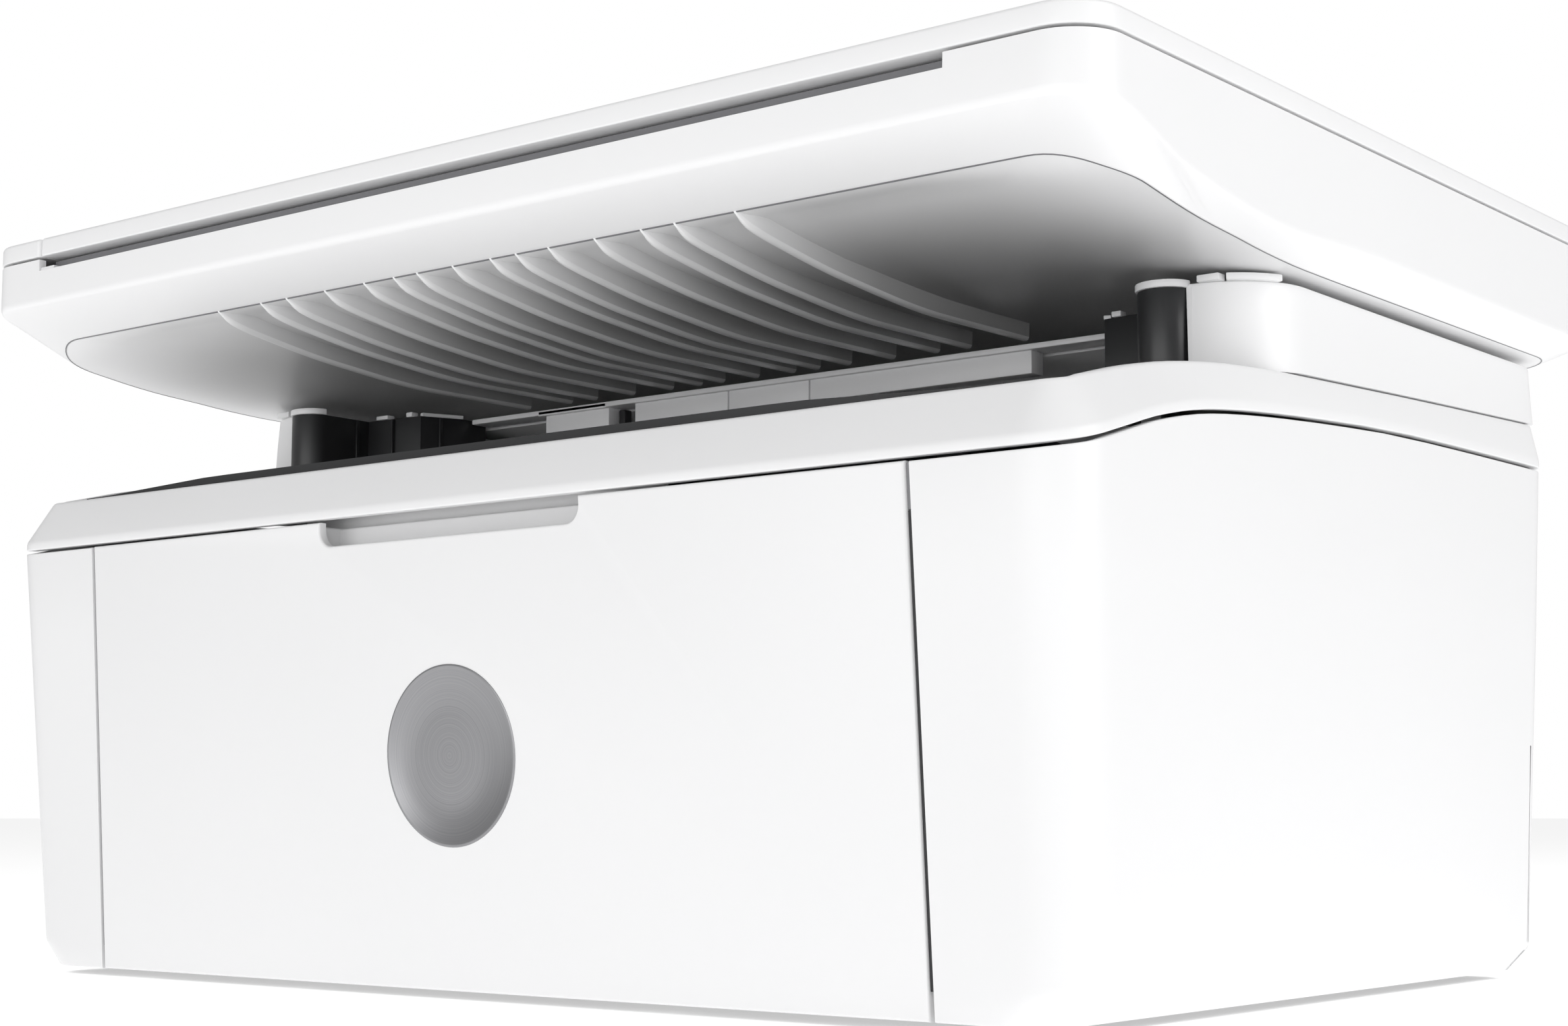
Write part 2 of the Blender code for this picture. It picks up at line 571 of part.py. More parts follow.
xr = lathe_x("exit_roller", EXIT, [(-121.5, 2.4), (-92, 2.4), (-92, 5.6), (-78, 5.6), (-78, 2.4), (-38, 2.4), (-38, 5.6), (-24, 5.6), (-24, 2.4),
                                   (24, 2.4), (24, 5.6), (38, 5.6), (38, 2.4), (78, 2.4), (78, 5.6), (92, 5.6), (92, 2.4), (124.0, 2.4)], 14,
             material("exit_roller", (0.05, 0.05, 0.05), 0.7))
join(xr, gear("c", EXIT, N_EXIT, ph["exit"]))
motor = lathe_x("main_motor", MOTOR, [(131.0, 2.0), (134.6, 2.0), (134.6, 18.0), (150.0, 18.0)], 20,
                material("main_motor", (0.45, 0.45, 0.46), 0.35, 1.0))

laser = box("laser_unit", -85.0, 85.0, -104.0, -62.0, 66.0, 104.0, material("laser_unit", (0.1, 0.1, 0.11), 0.5))
cut(laser, box("c", -82.0, 82.0, -101.0, -65.0, 69.0, 120.0))
join(laser, cyl("c", (0.0, -84.0), 4.0, 68.0, 76.0, "Z", 12))
cyl("polygon_mirror", (0.0, -84.0), 14.0, 76.3, 81.3, "Z", 6, material("polygon_mirror", (0.9, 0.9, 0.92), 0.03, 1.0))

# ============ paper input ============
lp_pts = [(-71.0, 9.2), (-27.4, 15.8), (-27.4, 17.0), (-71.0, 10.4)]
prism("lift_plate", lp_pts, -106.0, 106.0, "X", material("lift_plate", (0.6, 0.6, 0.62), 0.3, 1.0))
for side, sx in (("right", 1), ("left", -1)):
    pg = prism("paper_guide_" + side, [(sx * 60, 8.2), (sx * 112, 8.2), (sx * 112, 42), (sx * 109, 42), (sx * 109, 10.4), (sx * 60, 10.4)],
               -102.0, -75.0, "Y", material("paper_guide_" + side, (0.07, 0.07, 0.075), 0.45))

# ============ electronics ============
PCB = (0.02, 0.16, 0.07)
mb = box("main_board", -151.0, -149.4, -70.0, 80.0, 14.0, 112.0, material("main_board", PCB, 0.5))
join(mb, box("c", -150.0, -146.0, -10.0, 18.0, 50.0, 78.0), box("c", -150.0, -144.5, 40.0, 72.0, 30.0, 36.0),
     box("c", -150.0, -147.0, -50.0, -34.0, 60.0, 90.0))
pb = box("power_board", 153.0, 154.6, -95.0, 28.0, 14.0, 104.0, material("power_board", (0.35, 0.22, 0.08), 0.6))
join(pb, box("c", 136.0, 153.6, -40.0, -8.0, 30.0, 60.0), cyl("c", (-70.0, 60.0), 9.0, 136.0, 153.6, "X", 16),
     box("c", 140.0, 153.6, -2.0, 14.0, 66.0, 92.0))
inl = box("power_inlet", 98.0, 126.0, 88.8, 107.0, 18.0, 42.0, material("power_inlet", BLACK, 0.4))
cut(inl, prism("c", [(100.5, 22.0), (123.5, 22.0), (123.5, 34.0), (119.0, 38.5), (105.0, 38.5), (100.5, 34.0)], 93.0, 120.0, "Y"))
join(inl, *[box("c", x - 1, x + 1, 92.0, 104.0, z - 2, z + 2) for x, z in ((105.5, 28.0), (118.5, 28.0), (112.0, 33.5))])
usb = box("usb_port", -119.8, -104.2, 92.0, 108.2, 52.2, 67.8, material("usb_port", (0.7, 0.7, 0.72), 0.25, 1.0))
cut(usb, box("c", -118.4, -105.6, 94.0, 120.0, 54.0, 66.0))

# ============ scanner unit ============
EDGE_Y = (-132.0, -120.0, -94.0, -50.0, -6.0, 132.0)
EDGE_Z = (180.7, 179.6, 171.7, 167.1, 168.4, 168.4)
LOW_Y = (-118.0, -110.0, -101.0, -92.0, -77.0, -63.0, -50.0, -32.0, -10.0, 132.0)
LOW_Z = (173.5, 170.2, 168.4, 167.0, 165.2, 164.2, 163.2, 162.5, 162.4, 162.4)
RIB_Y = (-118.0, -113.5, -101.0, -77.0, -39.0, -2.0)
RIB_Z = (173.3, 170.6, 168.0, 164.6, 161.9, 162.0)
RIB_X = (-95.0, -78.0, -68.0, -53.3, -38.7, -28.0, -19.7, -7.3, 5.5, 13.9, 24.5, 39.1, 53.3, 63.3, 80.8)
RECESS = 4.0


def low_z(y):
    return curve_table(y, LOW_Y, LOW_Z)


def skin_z(x, y):
    """Underside between the ribs: recessed above the rim of the underside."""
    def ss(t):
        t = max(0.0, min(1.0, t))
        return t * t * (3 - 2 * t)
    k = ss((168.0 - abs(x)) / 50.0) * ss((100.0 - y) / 60.0)
    k *= ss((y + 119.0) / 12.0)
    return low_z(y) + RECESS * k


def scanner_rings(inset, up, seg=5, ys=(-94.0, -72.0, -50.0, -28.0, -6.0, 40.0, 85.0), xs=(-100.0, -50.0, 0.0, 50.0, 100.0)):
    def ring(x0, x1, y0, y1, r):
        # stations along y follow the ring's own length so that every ring has the same count
        f = [(y + 132.0) / 264.0 for y in ys]
        return rrect(x0, x1, y0, y1, r, seg, [y0 + r + (y1 - y0 - 2 * r) * t for t in f], [x0 + r + (x1 - x0 - 2 * r) * (x + 180) / 360 for x in xs])
    rings = []
    hx, hy = SCAN_HX - inset, SCAN_HY - inset
    rings.append([(x, y, SEAM_Z - 0.3) for x, y in ring(-hx, hx, -hy, hy, SCAN_R - inset)])
    rings.append([(x, y, curve_table(y - (inset if y < 0 else 0), EDGE_Y, EDGE_Z) + up * 0.5) for x, y in ring(-hx, hx, -hy, hy, SCAN_R - inset)])
    hx = 174.0 - inset * 0.8
    rings.append([(x, y, low_z(y) + up) for x, y in ring(-hx, hx, -118.0 + inset * 0.6, 121.0 - inset * 0.6, 18.0 - inset * 0.6)])
    for k in (0.955, 0.88, 0.78, 0.62, 0.42, 0.2):
        rings.append([(x, y, skin_z(x, y) + up) for x, y in ring(-hx * k, hx * k, -118.0 * k + 2 * (1 - k), 121.0 * k + 2 * (1 - k), 18.0 * k)])
    return rings


so, si = scanner_rings(0.0, 0.0), scanner_rings(WALL, WALL)
sb = loft("scanner_base", so, si, True, white("scanner_base"), cap=((0, 2.0, skin_z(0, 2.0)), (0, 2.0, skin_z(0, 2.0) + WALL)))
ribs = []
for x in RIB_X:
    prof = []
    for k in range(9):
        y = -117.0 + (116.0 - 1.0) * (k / 8.0) ** 1.25
        prof.append((y, curve_table(y, RIB_Y, RIB_Z)))
    prof = prof + [(y, skin_z(x, y) + 1.1) for y, z in reversed(prof)]
    ribs.append(prism("c", prof, x - 0.7, x + 0.7, "X"))
join(sb, *ribs)
# finger slot in the front wall under the lid, hinge pockets and clearance chamfer at the back
cut(sb, box("c", LID_X0, 146.0, -140.0, -128.4, SEAM_Z - 3.5, 200.0))
cut(sb, prism("c", [(127.2, 193.3), (134.0, 186.5), (136.0, 200.0), (127.2, 200.0)], -200.0, 200.0, "X"))
cut(sb, *[box("c", s * 110 - 11.5, s * 110 + 11.5, 122.8, 140.0, 187.0, 200.0) for s in (-1, 1)])

tf = box("scanner_top_frame", -153.8, 177.0, -126.5, 122.4, 187.4, 192.9, material("scanner_top_frame", (0.28, 0.28, 0.29), 0.45))
cut(tf, box("c", -137.0, 162.0, -109.0, 109.0, 180, 200))
cut(tf, box("c", -141.0, 166.0, -113.0, 113.0, 190.0, 200))
cut(tf, box("c", 165.0, 190.0, -140, -114.0, 180, 200), box("c", 165.0, 190.0, 110.0, 140, 180, 200))
box("scan_glass", -140.6, 165.6, -112.6, 112.6, 190.3, 192.6, material("scan_glass", (0.75, 0.82, 0.82), 0.02))

carr = box("scan_carriage", -134.0, -116.0, -105.0, 105.0, 178.4, 189.0, material("scan_carriage", (0.05, 0.05, 0.055), 0.4))
join(carr, box("c", -134.0, -116.0, -7.0, 7.0, 175.4, 179.0))
cut(carr, cyl("c", (0.0, 175.2), 3.4, -140.0, -110.0, "X", 18))
cyl("guide_rod", (0.0, 175.2), 3.0, -152.0, 168.0, "X", 16, material("guide_rod", (0.75, 0.75, 0.77), 0.15, 1.0))


# lid, pad and hinges
lid = prism("scanner_lid", rrect(LID_X0 + 0.2, SCAN_HX, -SCAN_HY, SCAN_HY, (SCAN_R, SCAN_R, 0.8, 0.8), 6), SEAM_Z + 0.5, TOP_Z, "Z",
            white("scanner_lid"))
cut(lid, box("c", -143.0, 168.0, -115.0, 115.0, 180.0, SEAM_Z + 2.6))
cut(lid, *[box("c", s * 110 - 11.8, s * 110 + 11.8, 123.2, 140.0, 187.0, 205.0) for s in (-1, 1)])
box("lid_pad", -142.0, 167.0, -114.0, 114.0, SEAM_Z - 0.3, SEAM_Z + 2.2, material("lid_pad", (0.85, 0.85, 0.85), 0.8))
lh = box("lid_hinges", -121.0, 121.0, 123.4, 126.4, 187.5, 190.0, material("lid_hinges", (0.6, 0.6, 0.61), 0.5))
for s in (-1, 1):
    join(lh, box("c", s * 110 - 11.0, s * 110 + 11.0, 123.1, 131.6, 187.9, 193.0), cyl("c", LID_AXIS, 2.3, s * 110 - 10.9, s * 110 + 10.9, "X", 14))

sh = cyl("scanner_hinges", LIFT_AXIS, 1.8, -140.0, 140.0, "X", 12, material("scanner_hinges", (0.4, 0.4, 0.41), 0.5))
for s in (-1, 1):
    a, b = (135.5, 139.5) if s > 0 else (-139.5, -135.5)
    join(sh, cyl("c", LIFT_AXIS, 3.8, a, b, "X", 16),
         box("c", a + 0.1, b - 0.1, LIFT_AXIS[0] - 3.2, LIFT_AXIS[0] + 3.2, LIFT_AXIS[1] + 0.5, 161.9))

# control panel with its display and buttons
PX = -167.5
BUTTONS = (("power_button", 70.0, 5.0), ("wireless_button", -2.0, 4.2), ("cancel_button", -22.0, 4.2), ("copies_button", -42.0, 4.2),
           ("start_button", -66.0, 6.0))
cp = prism("control_panel", rrect(-SCAN_HX, LID_X0 - 0.2, -SCAN_HY, SCAN_HY, (0.8, 0.8, SCAN_R, SCAN_R), 6), SEAM_Z + 0.5, TOP_Z, "Z",
           white("control_panel"))
cut(cp, *[cyl("c", (PX, y), r + 0.35, 180.0, 205.0, "Z", 18) for _, y, r in BUTTONS])
cut(cp, box("c", PX - 8.0, PX + 8.0, 16.0, 52.0, TOP_Z - 1.5, 205.0))
box("display_window", PX - 7.6, PX + 7.6, 16.4, 51.6, TOP_Z - 1.2, TOP_Z - 0.05, material("display_window", (0.02, 0.02, 0.025), 0.08))
for name, y, r in BUTTONS:
    cyl(name, (PX, y), r, 195.4, TOP_Z - 0.1, "Z", 18, material(name, (0.75, 0.75, 0.76), 0.35))


def set_origin(name, point):
    """Put a piece's origin on its joint axis without moving its mesh in the world."""
    ob = bpy.data.objects[name]
    p = Vector(point) * MM
    ob.data.transform(Matrix.Translation(-p))
    ob.location = p


for names, p in (
    (("front_door", "door_handle_pocket"), (0, *TRAY_AXIS)),
    (("toner_access_door",), (0, *TONER_AXIS)),
    (("scanner_lid", "lid_pad"), (0, *LID_AXIS)),
    (("scanner_base", "scanner_top_frame", "scan_glass", "guide_rod", "control_panel", "display_window", "lid_hinges",
      "scanner_hinges"), (0, *LIFT_AXIS)),
    (("lift_plate",), (0, -72.0, 9.0)), (("exit_sensor_flag",), (-53.4, -4.5, 156.5)),
    (("polygon_mirror",), (0.0, -84.0, 79.0)),
    (("drive_gear",), (126.0, *DRIVE)), (("motor_pinion",), (126.0, *MOTOR)), (("exit_idler_gear",), (126.0, *IDLER)),
    (("photo_drum",), (0, *DRUM)), (("transfer_roller",), (0, *TRANSFER)), (("feed_roller",), (0, *FEED)), (("pickup_roller",), (0, *PICKUP)),
    (("heat_roller",), (0, *FUSER)), (("pressure_roller",), (0, *PRESS)), (("exit_roller",), (0, *EXIT)),
    (("scan_carriage",), (-125.0, 0.0, 175.2)), (("paper_guide_left",), (-110.0, -88.0, 9.0)), (("paper_guide_right",), (110.0, -88.0, 9.0)),
):
    for nme in names:
        set_origin(nme, p)
for name, y, r in BUTTONS:
    set_origin(name, (PX, y, TOP_Z))
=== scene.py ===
"""Looks of the laser multifunction printer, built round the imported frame."""
import bpy, bmesh, json, math
from mathutils import Matrix, Vector

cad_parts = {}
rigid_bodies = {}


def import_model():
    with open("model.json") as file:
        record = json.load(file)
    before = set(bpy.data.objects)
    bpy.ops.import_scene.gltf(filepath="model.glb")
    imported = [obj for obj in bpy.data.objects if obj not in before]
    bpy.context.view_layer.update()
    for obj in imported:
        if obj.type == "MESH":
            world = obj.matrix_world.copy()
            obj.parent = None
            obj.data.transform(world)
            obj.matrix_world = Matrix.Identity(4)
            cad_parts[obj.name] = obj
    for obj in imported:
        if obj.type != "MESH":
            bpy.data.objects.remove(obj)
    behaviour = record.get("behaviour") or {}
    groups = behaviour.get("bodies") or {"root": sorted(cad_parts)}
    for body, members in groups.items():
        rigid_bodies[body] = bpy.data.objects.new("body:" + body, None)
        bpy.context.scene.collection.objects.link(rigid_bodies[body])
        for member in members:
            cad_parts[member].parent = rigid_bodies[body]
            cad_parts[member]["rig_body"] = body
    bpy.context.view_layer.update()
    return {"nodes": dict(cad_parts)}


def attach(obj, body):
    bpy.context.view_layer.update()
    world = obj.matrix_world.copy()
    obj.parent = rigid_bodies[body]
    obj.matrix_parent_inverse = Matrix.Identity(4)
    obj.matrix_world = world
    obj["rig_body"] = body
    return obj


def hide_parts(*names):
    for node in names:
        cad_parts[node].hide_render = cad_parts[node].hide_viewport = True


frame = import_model()

MM = 0.001
GAP = 0.3                 # gap kept between pieces that touch

# ---- driving dimensions (mm) ----
SCAN_HX, SCAN_HY = 180.0, 132.0      # scanner unit half width and half depth
SCAN_R = 12.0                        # its plan corner radius
SEAM_Z = 193.4                       # seam between lid and scanner base
TOP_Z = 199.0                        # top of the lid
LID_X0 = -154.5                      # joint line between control panel and lid
WALL_Z = 180.7                       # lower edge of the scanner's front wall
BODY_HX = 172.5                      # body half width at the shoulder
BODY_TAPER = 0.045
FRONT_Y, FRONT_LEAN = -127.0, 0.07   # front plane at z = 113.2, leaning back below it
FRONT_Z = 113.2                      # lower edge of the top rim along the front
REAR_Y, REAR_TAPER = 111.4, 0.04
BODY_R = 13.0
DOOR_HX = 132.9
DOOR_Z0 = 2.0
PILLAR_TOP = 160.4
WALL = 2.2                           # plastic wall thickness
LIFT_AXIS = (108.0, 158.0)           # scanner unit hinge (y, z)
LID_AXIS = (129.5, 194.0)
TRAY_AXIS = (-113.5, 8.5)
TONER_AXIS = (-13.0, 124.6)
# gear train (module 1): centres as (y, z)
DRIVE = (40.0, 58.0)
N_DRIVE, N_PINION, N_ROLL, N_IDLER, N_EXIT = 48, 12, 32, 48, 16
GEAR_X0, GEAR_X1 = 123.0, 130.0


def polar(c, r, deg):
    a = math.radians(deg)
    return (c[0] + r * math.cos(a), c[1] + r * math.sin(a))


DRUM = polar(DRIVE, 40.0, 160.0)
FEED = polar(DRIVE, 40.0, 215.0)
PICKUP = polar(FEED, 32.0, 190.0)
FUSER = polar(DRIVE, 40.0, 65.0)
MOTOR = polar(DRIVE, 30.0, -40.0)
EXIT = (8.0, 146.0)
_d = math.hypot(EXIT[0] - FUSER[0], EXIT[1] - FUSER[1])
_a = math.degrees(math.acos((40.0 ** 2 + _d ** 2 - 32.0 ** 2) / (2 * 40.0 * _d)))
_b = math.degrees(math.atan2(EXIT[1] - FUSER[1], EXIT[0] - FUSER[0]))
IDLER = polar(FUSER, 40.0, _b - _a)
PRESS = polar(FUSER, 19.4, -60.0)
TRANSFER = (DRUM[0], DRUM[1] - 18.4)


def curve_table(x, xs, ys):
    """Smooth monotone interpolation through the stations xs, ys."""
    if x <= xs[0]:
        return ys[0]
    if x >= xs[-1]:
        return ys[-1]
    i = max(k for k in range(len(xs) - 1) if xs[k] <= x)
    d = [(ys[k + 1] - ys[k]) / (xs[k + 1] - xs[k]) for k in range(len(xs) - 1)]

    def slope(k):
        if k == 0:
            return d[0]
        if k == len(xs) - 1:
            return d[-1]
        return 0.0 if d[k - 1] * d[k] <= 0 else 2 * d[k - 1] * d[k] / (d[k - 1] + d[k])
    h = xs[i + 1] - xs[i]
    t = (x - xs[i]) / h
    return ((2 * t ** 3 - 3 * t ** 2 + 1) * ys[i] + (t ** 3 - 2 * t ** 2 + t) * h * slope(i)
            + (-2 * t ** 3 + 3 * t ** 2) * ys[i + 1] + (t ** 3 - t ** 2) * h * slope(i + 1))



def rrect(x0, x1, y0, y1, r, seg=5, ys=(), xs=()):
    """Closed outline from the front right corner round to the front edge again (anticlockwise)."""
    rs = r if isinstance(r, (tuple, list)) else (r, r, r, r)   # front right, rear right, rear left, front left
    out = []

    def arc(cx, cy, rad, a0):
        for k in range(seg + 1):
            a = math.radians(a0 + 90.0 * k / seg)
            out.append((cx + rad * math.cos(a), cy + rad * math.sin(a)))
    arc(x1 - rs[0], y0 + rs[0], rs[0], -90)
    out.extend((x1, y) for y in ys)
    arc(x1 - rs[1], y1 - rs[1], rs[1], 0)
    out.extend((x, y1) for x in sorted(xs, reverse=True))
    arc(x0 + rs[2], y1 - rs[2], rs[2], 90)
    out.extend((x0, y) for y in reversed(ys))
    arc(x0 + rs[3], y0 + rs[3], rs[3], 180)
    out.extend((x, y0) for x in sorted(xs))
    return out



def offset_path(pts, d):
    """Open plan path moved sideways by d (to the left of travel)."""
    out = []
    for i, p in enumerate(pts):
        a = pts[max(i - 1, 0)]
        b = pts[min(i + 1, len(pts) - 1)]
        n1 = Vector((p[0] - a[0], p[1] - a[1])) if i else Vector((b[0] - p[0], b[1] - p[1]))
        n2 = Vector((b[0] - p[0], b[1] - p[1])) if i < len(pts) - 1 else n1
        n1.normalize()
        n2.normalize()
        m = Vector((-(n1.y + n2.y), n1.x + n2.x))
        m.normalize()
        k = d / max(0.4, m.dot(Vector((-n1.y, n1.x))))
        out.append((p[0] + m.x * k, p[1] + m.y * k))
    return out


def mirror_pts(rows):
    return [[(-p[0], p[1], p[2]) for p in row] for row in rows]



# ---- body outline functions ----
def body_hx(z):
    return BODY_HX - BODY_TAPER * (132.0 - z)


def front_y(z):
    return FRONT_Y + FRONT_LEAN * (FRONT_Z - z)


def rear_y(z):
    return REAR_Y - REAR_TAPER * (132.4 - z)


RIM_Y = (-127.0, -120.0, -110.0, -93.0, -75.0, -54.0, -20.0, 20.0, 65.0, 110.0)
RIM_LOW = (113.2, 114.5, 117.2, 122.0, 125.4, 127.6, 129.9, 131.7, 132.3, 132.6)
TOP_Y = (-127.0, -118.0, -95.0, -80.0, -62.0, -45.0, 0.0, 35.0, 112.0)
TOP_H = (127.5, 128.2, 133.3, 136.0, 138.0, 139.0, 140.9, 142.3, 145.0)
BEV_Y = (-127.0, -115.0, -95.0, -80.0, -60.0, -40.0)
BEV_B = (7.0, 7.0, 6.4, 5.0, 3.2, 2.0)
SIDE_YS = (-105.0, -93.0, -80.0, -66.0, -50.0, -25.0, 10.0, 60.0)


def rim_low(y):
    return curve_table(y, RIM_Y, RIM_LOW)


def rim_top(y):
    return curve_table(y, TOP_Y, TOP_H)



EDGE_Y = (-132.0, -120.0, -94.0, -50.0, -6.0, 132.0)
EDGE_Z = (180.7, 179.6, 171.7, 167.1, 168.4, 168.4)
LOW_Y = (-118.0, -110.0, -101.0, -92.0, -77.0, -63.0, -50.0, -32.0, -10.0, 132.0)
LOW_Z = (173.5, 170.2, 168.4, 167.0, 165.2, 164.2, 163.2, 162.5, 162.4, 162.4)
RIB_Y = (-118.0, -113.5, -101.0, -77.0, -39.0, -2.0)
RIB_Z = (173.3, 170.6, 168.0, 164.6, 161.9, 162.0)
RIB_X = (-95.0, -78.0, -68.0, -53.3, -38.7, -28.0, -19.7, -7.3, 5.5, 13.9, 24.5, 39.1, 53.3, 63.3, 80.8)
RECESS = 4.0


def low_z(y):
    return curve_table(y, LOW_Y, LOW_Z)


def skin_z(x, y):
    """Underside between the ribs: recessed above the rim of the underside."""
    def ss(t):
        t = max(0.0, min(1.0, t))
        return t * t * (3 - 2 * t)
    k = ss((168.0 - abs(x)) / 50.0) * ss((100.0 - y) / 60.0)
    k *= ss((y + 119.0) / 12.0)
    return low_z(y) + RECESS * k



# ---------------------------------------------------------------- camera, world, lights, floor
scene = bpy.context.scene
scene.view_settings.view_transform = "Standard"
scene.view_settings.look = "None"
scene.view_settings.exposure = 0.0
scene.view_settings.gamma = 1.0

cam_d = bpy.data.cameras.new("camera")
cam_d.sensor_width = 36.0
cam_d.lens = 36.0 * 3750.0 * 0.996 / 2380.0
cam_d.clip_start = 0.01
cam = bpy.data.objects.new("camera", cam_d)
cam.location = (0.4162, -0.5233, 0.0443)
cam.rotation_euler = (math.radians(96.8), math.radians(0.0), math.radians(38.42))
scene.collection.objects.link(cam)
scene.camera = cam

world = bpy.data.worlds.new("studio")
scene.world = world
world.use_nodes = True
wnt = world.node_tree
bg = wnt.nodes["Background"]
bg.inputs["Color"].default_value = (1.0, 1.0, 1.0, 1.0)
bg.inputs["Strength"].default_value = 0.43
seen = wnt.nodes.new("ShaderNodeBackground")
seen.inputs["Color"].default_value = (1.0, 1.0, 1.0, 1.0)
seen.inputs["Strength"].default_value = 1.0
lp_ = wnt.nodes.new("ShaderNodeLightPath")
mixw = wnt.nodes.new("ShaderNodeMixShader")
wnt.links.new(lp_.outputs["Is Camera Ray"], mixw.inputs["Fac"])
wnt.links.new(bg.outputs["Background"], mixw.inputs[1])
wnt.links.new(seen.outputs["Background"], mixw.inputs[2])
wnt.links.new(mixw.outputs["Shader"], wnt.nodes["World Output"].inputs["Surface"])


def area(name, loc, target, size, power, size_y=None, colour=(1, 1, 1)):
    d = bpy.data.lights.new(name, "AREA")
    d.energy = power
    d.color = colour
    d.size = size
    if size_y:
        d.shape = "RECTANGLE"
        d.size_y = size_y
    o = bpy.data.objects.new(name, d)
    o.location = loc
    o.rotation_euler = (Vector(target) - Vector(loc)).to_track_quat("-Z", "Y").to_euler()
    scene.collection.objects.link(o)
    return o


area("key_right", (1.5, 0.1, 0.75), (0.15, 0.0, 0.1), 1.0, 7.6)
area("front_left", (-0.9, -1.5, 0.8), (0.0, -0.1, 0.1), 0.9, 0.1)
area("top_soft", (0.25, 0.25, 1.7), (0.0, 0.0, 0.1), 1.8, 4.0)
area("table_bounce", (0.1, -0.85, 0.012), (0.0, -0.3, 0.3), 1.5, 1.8, 0.5)
area("front_low", (0.0, -1.6, 0.3), (0.0, 0.0, 0.17), 1.6, 3.7, 0.3)


# ---------------------------------------------------------------- materials
def new_mat(name):
    m = bpy.data.materials.new(name)
    m.use_nodes = True
    nt = m.node_tree
    return m, nt, nt.nodes["Principled BSDF"]


def noise(nt, scale, detail=4.0, rough=0.55, vec=None, distort=0.0):
    n = nt.nodes.new("ShaderNodeTexNoise")
    n.inputs["Scale"].default_value = scale
    n.inputs["Detail"].default_value = detail
    n.inputs["Roughness"].default_value = rough
    n.inputs["Distortion"].default_value = distort
    if vec:
        nt.links.new(vec, n.inputs["Vector"])
    return n


def coords(nt, sc=(1, 1, 1)):
    tc = nt.nodes.new("ShaderNodeTexCoord")
    mp = nt.nodes.new("ShaderNodeMapping")
    mp.inputs["Scale"].default_value = sc
    nt.links.new(tc.outputs["Object"], mp.inputs["Vector"])
    return mp.outputs["Vector"]


def remap(nt, val, lo, hi, a=0.0, b=1.0):
    r = nt.nodes.new("ShaderNodeMapRange")
    r.inputs["From Min"].default_value = a
    r.inputs["From Max"].default_value = b
    r.inputs["To Min"].default_value = lo
    r.inputs["To Max"].default_value = hi
    nt.links.new(val, r.inputs["Value"])
    return r.outputs["Result"]


def ramp(nt, val, stops):
    r = nt.nodes.new("ShaderNodeValToRGB")
    while len(r.color_ramp.elements) > 1:
        r.color_ramp.elements.remove(r.color_ramp.elements[-1])
    r.color_ramp.elements[0].position = stops[0][0]
    r.color_ramp.elements[0].color = (*stops[0][1], 1)
    for p, c in stops[1:]:
        e = r.color_ramp.elements.new(p)
        e.color = (*c, 1)
    nt.links.new(val, r.inputs["Fac"])
    return r.outputs["Color"]


def bump(nt, pbsdf, height, strength, dist):
    b = nt.nodes.new("ShaderNodeBump")
    b.inputs["Strength"].default_value = strength
    b.inputs["Distance"].default_value = dist
    nt.links.new(height, b.inputs["Height"])
    nt.links.new(b.outputs["Normal"], pbsdf.inputs["Normal"])


def shade(c, k):
    return tuple(max(0.0, min(1.0, v * k)) for v in c)


def plastic(name, colour, rough=0.3, spread=0.05, grain=900.0, depth=0.00002, var=0.012, spec=0.5, bstr=0.35):
    """Moulded plastic: fine spark-eroded grain, slow changes of tone, roughness that varies with handling."""
    m, nt, p = new_mat(name)
    v = coords(nt)
    big = noise(nt, 9.0, 1.0, 0.5, v)
    mid = noise(nt, 30.0, 1.0, 0.5, v)
    fine = noise(nt, grain, 2.0, 0.5, v)
    tone = nt.nodes.new("ShaderNodeMix")
    tone.data_type = "RGBA"
    tone.inputs["A"].default_value = (*shade(colour, 1 - 2.5 * var), 1)
    tone.inputs["B"].default_value = (*shade(colour, 1 + 2.5 * var), 1)
    nt.links.new(big.outputs["Fac"], tone.inputs["Factor"])
    nt.links.new(tone.outputs["Result"], p.inputs["Base Color"])
    add = nt.nodes.new("ShaderNodeMath")
    add.operation = "MULTIPLY_ADD"
    add.inputs[1].default_value = 0.35
    nt.links.new(big.outputs["Fac"], add.inputs[0])
    nt.links.new(mid.outputs["Fac"], add.inputs[2])
    nt.links.new(remap(nt, add.outputs[0], rough - 2 * spread, rough + 2 * spread, 0.0, 1.35), p.inputs["Roughness"])
    p.inputs["Specular IOR Level"].default_value = spec
    if bstr:
        bump(nt, p, fine.outputs["Fac"], bstr, depth)
    return m


def rubber(name, colour=(0.028, 0.028, 0.03), ribs=0.0):
    m, nt, p = new_mat(name)
    v = coords(nt)
    a = noise(nt, 60.0, 4.0, 0.6, v)
    f = noise(nt, 1400.0, 2.0, 0.6, v)
    nt.links.new(ramp(nt, a.outputs["Fac"], [(0.3, shade(colour, 0.8)), (0.7, shade(colour, 1.35))]), p.inputs["Base Color"])
    nt.links.new(remap(nt, a.outputs["Fac"], 0.68, 0.9), p.inputs["Roughness"])
    bump(nt, p, f.outputs["Fac"], 0.6, 0.00005)
    return m


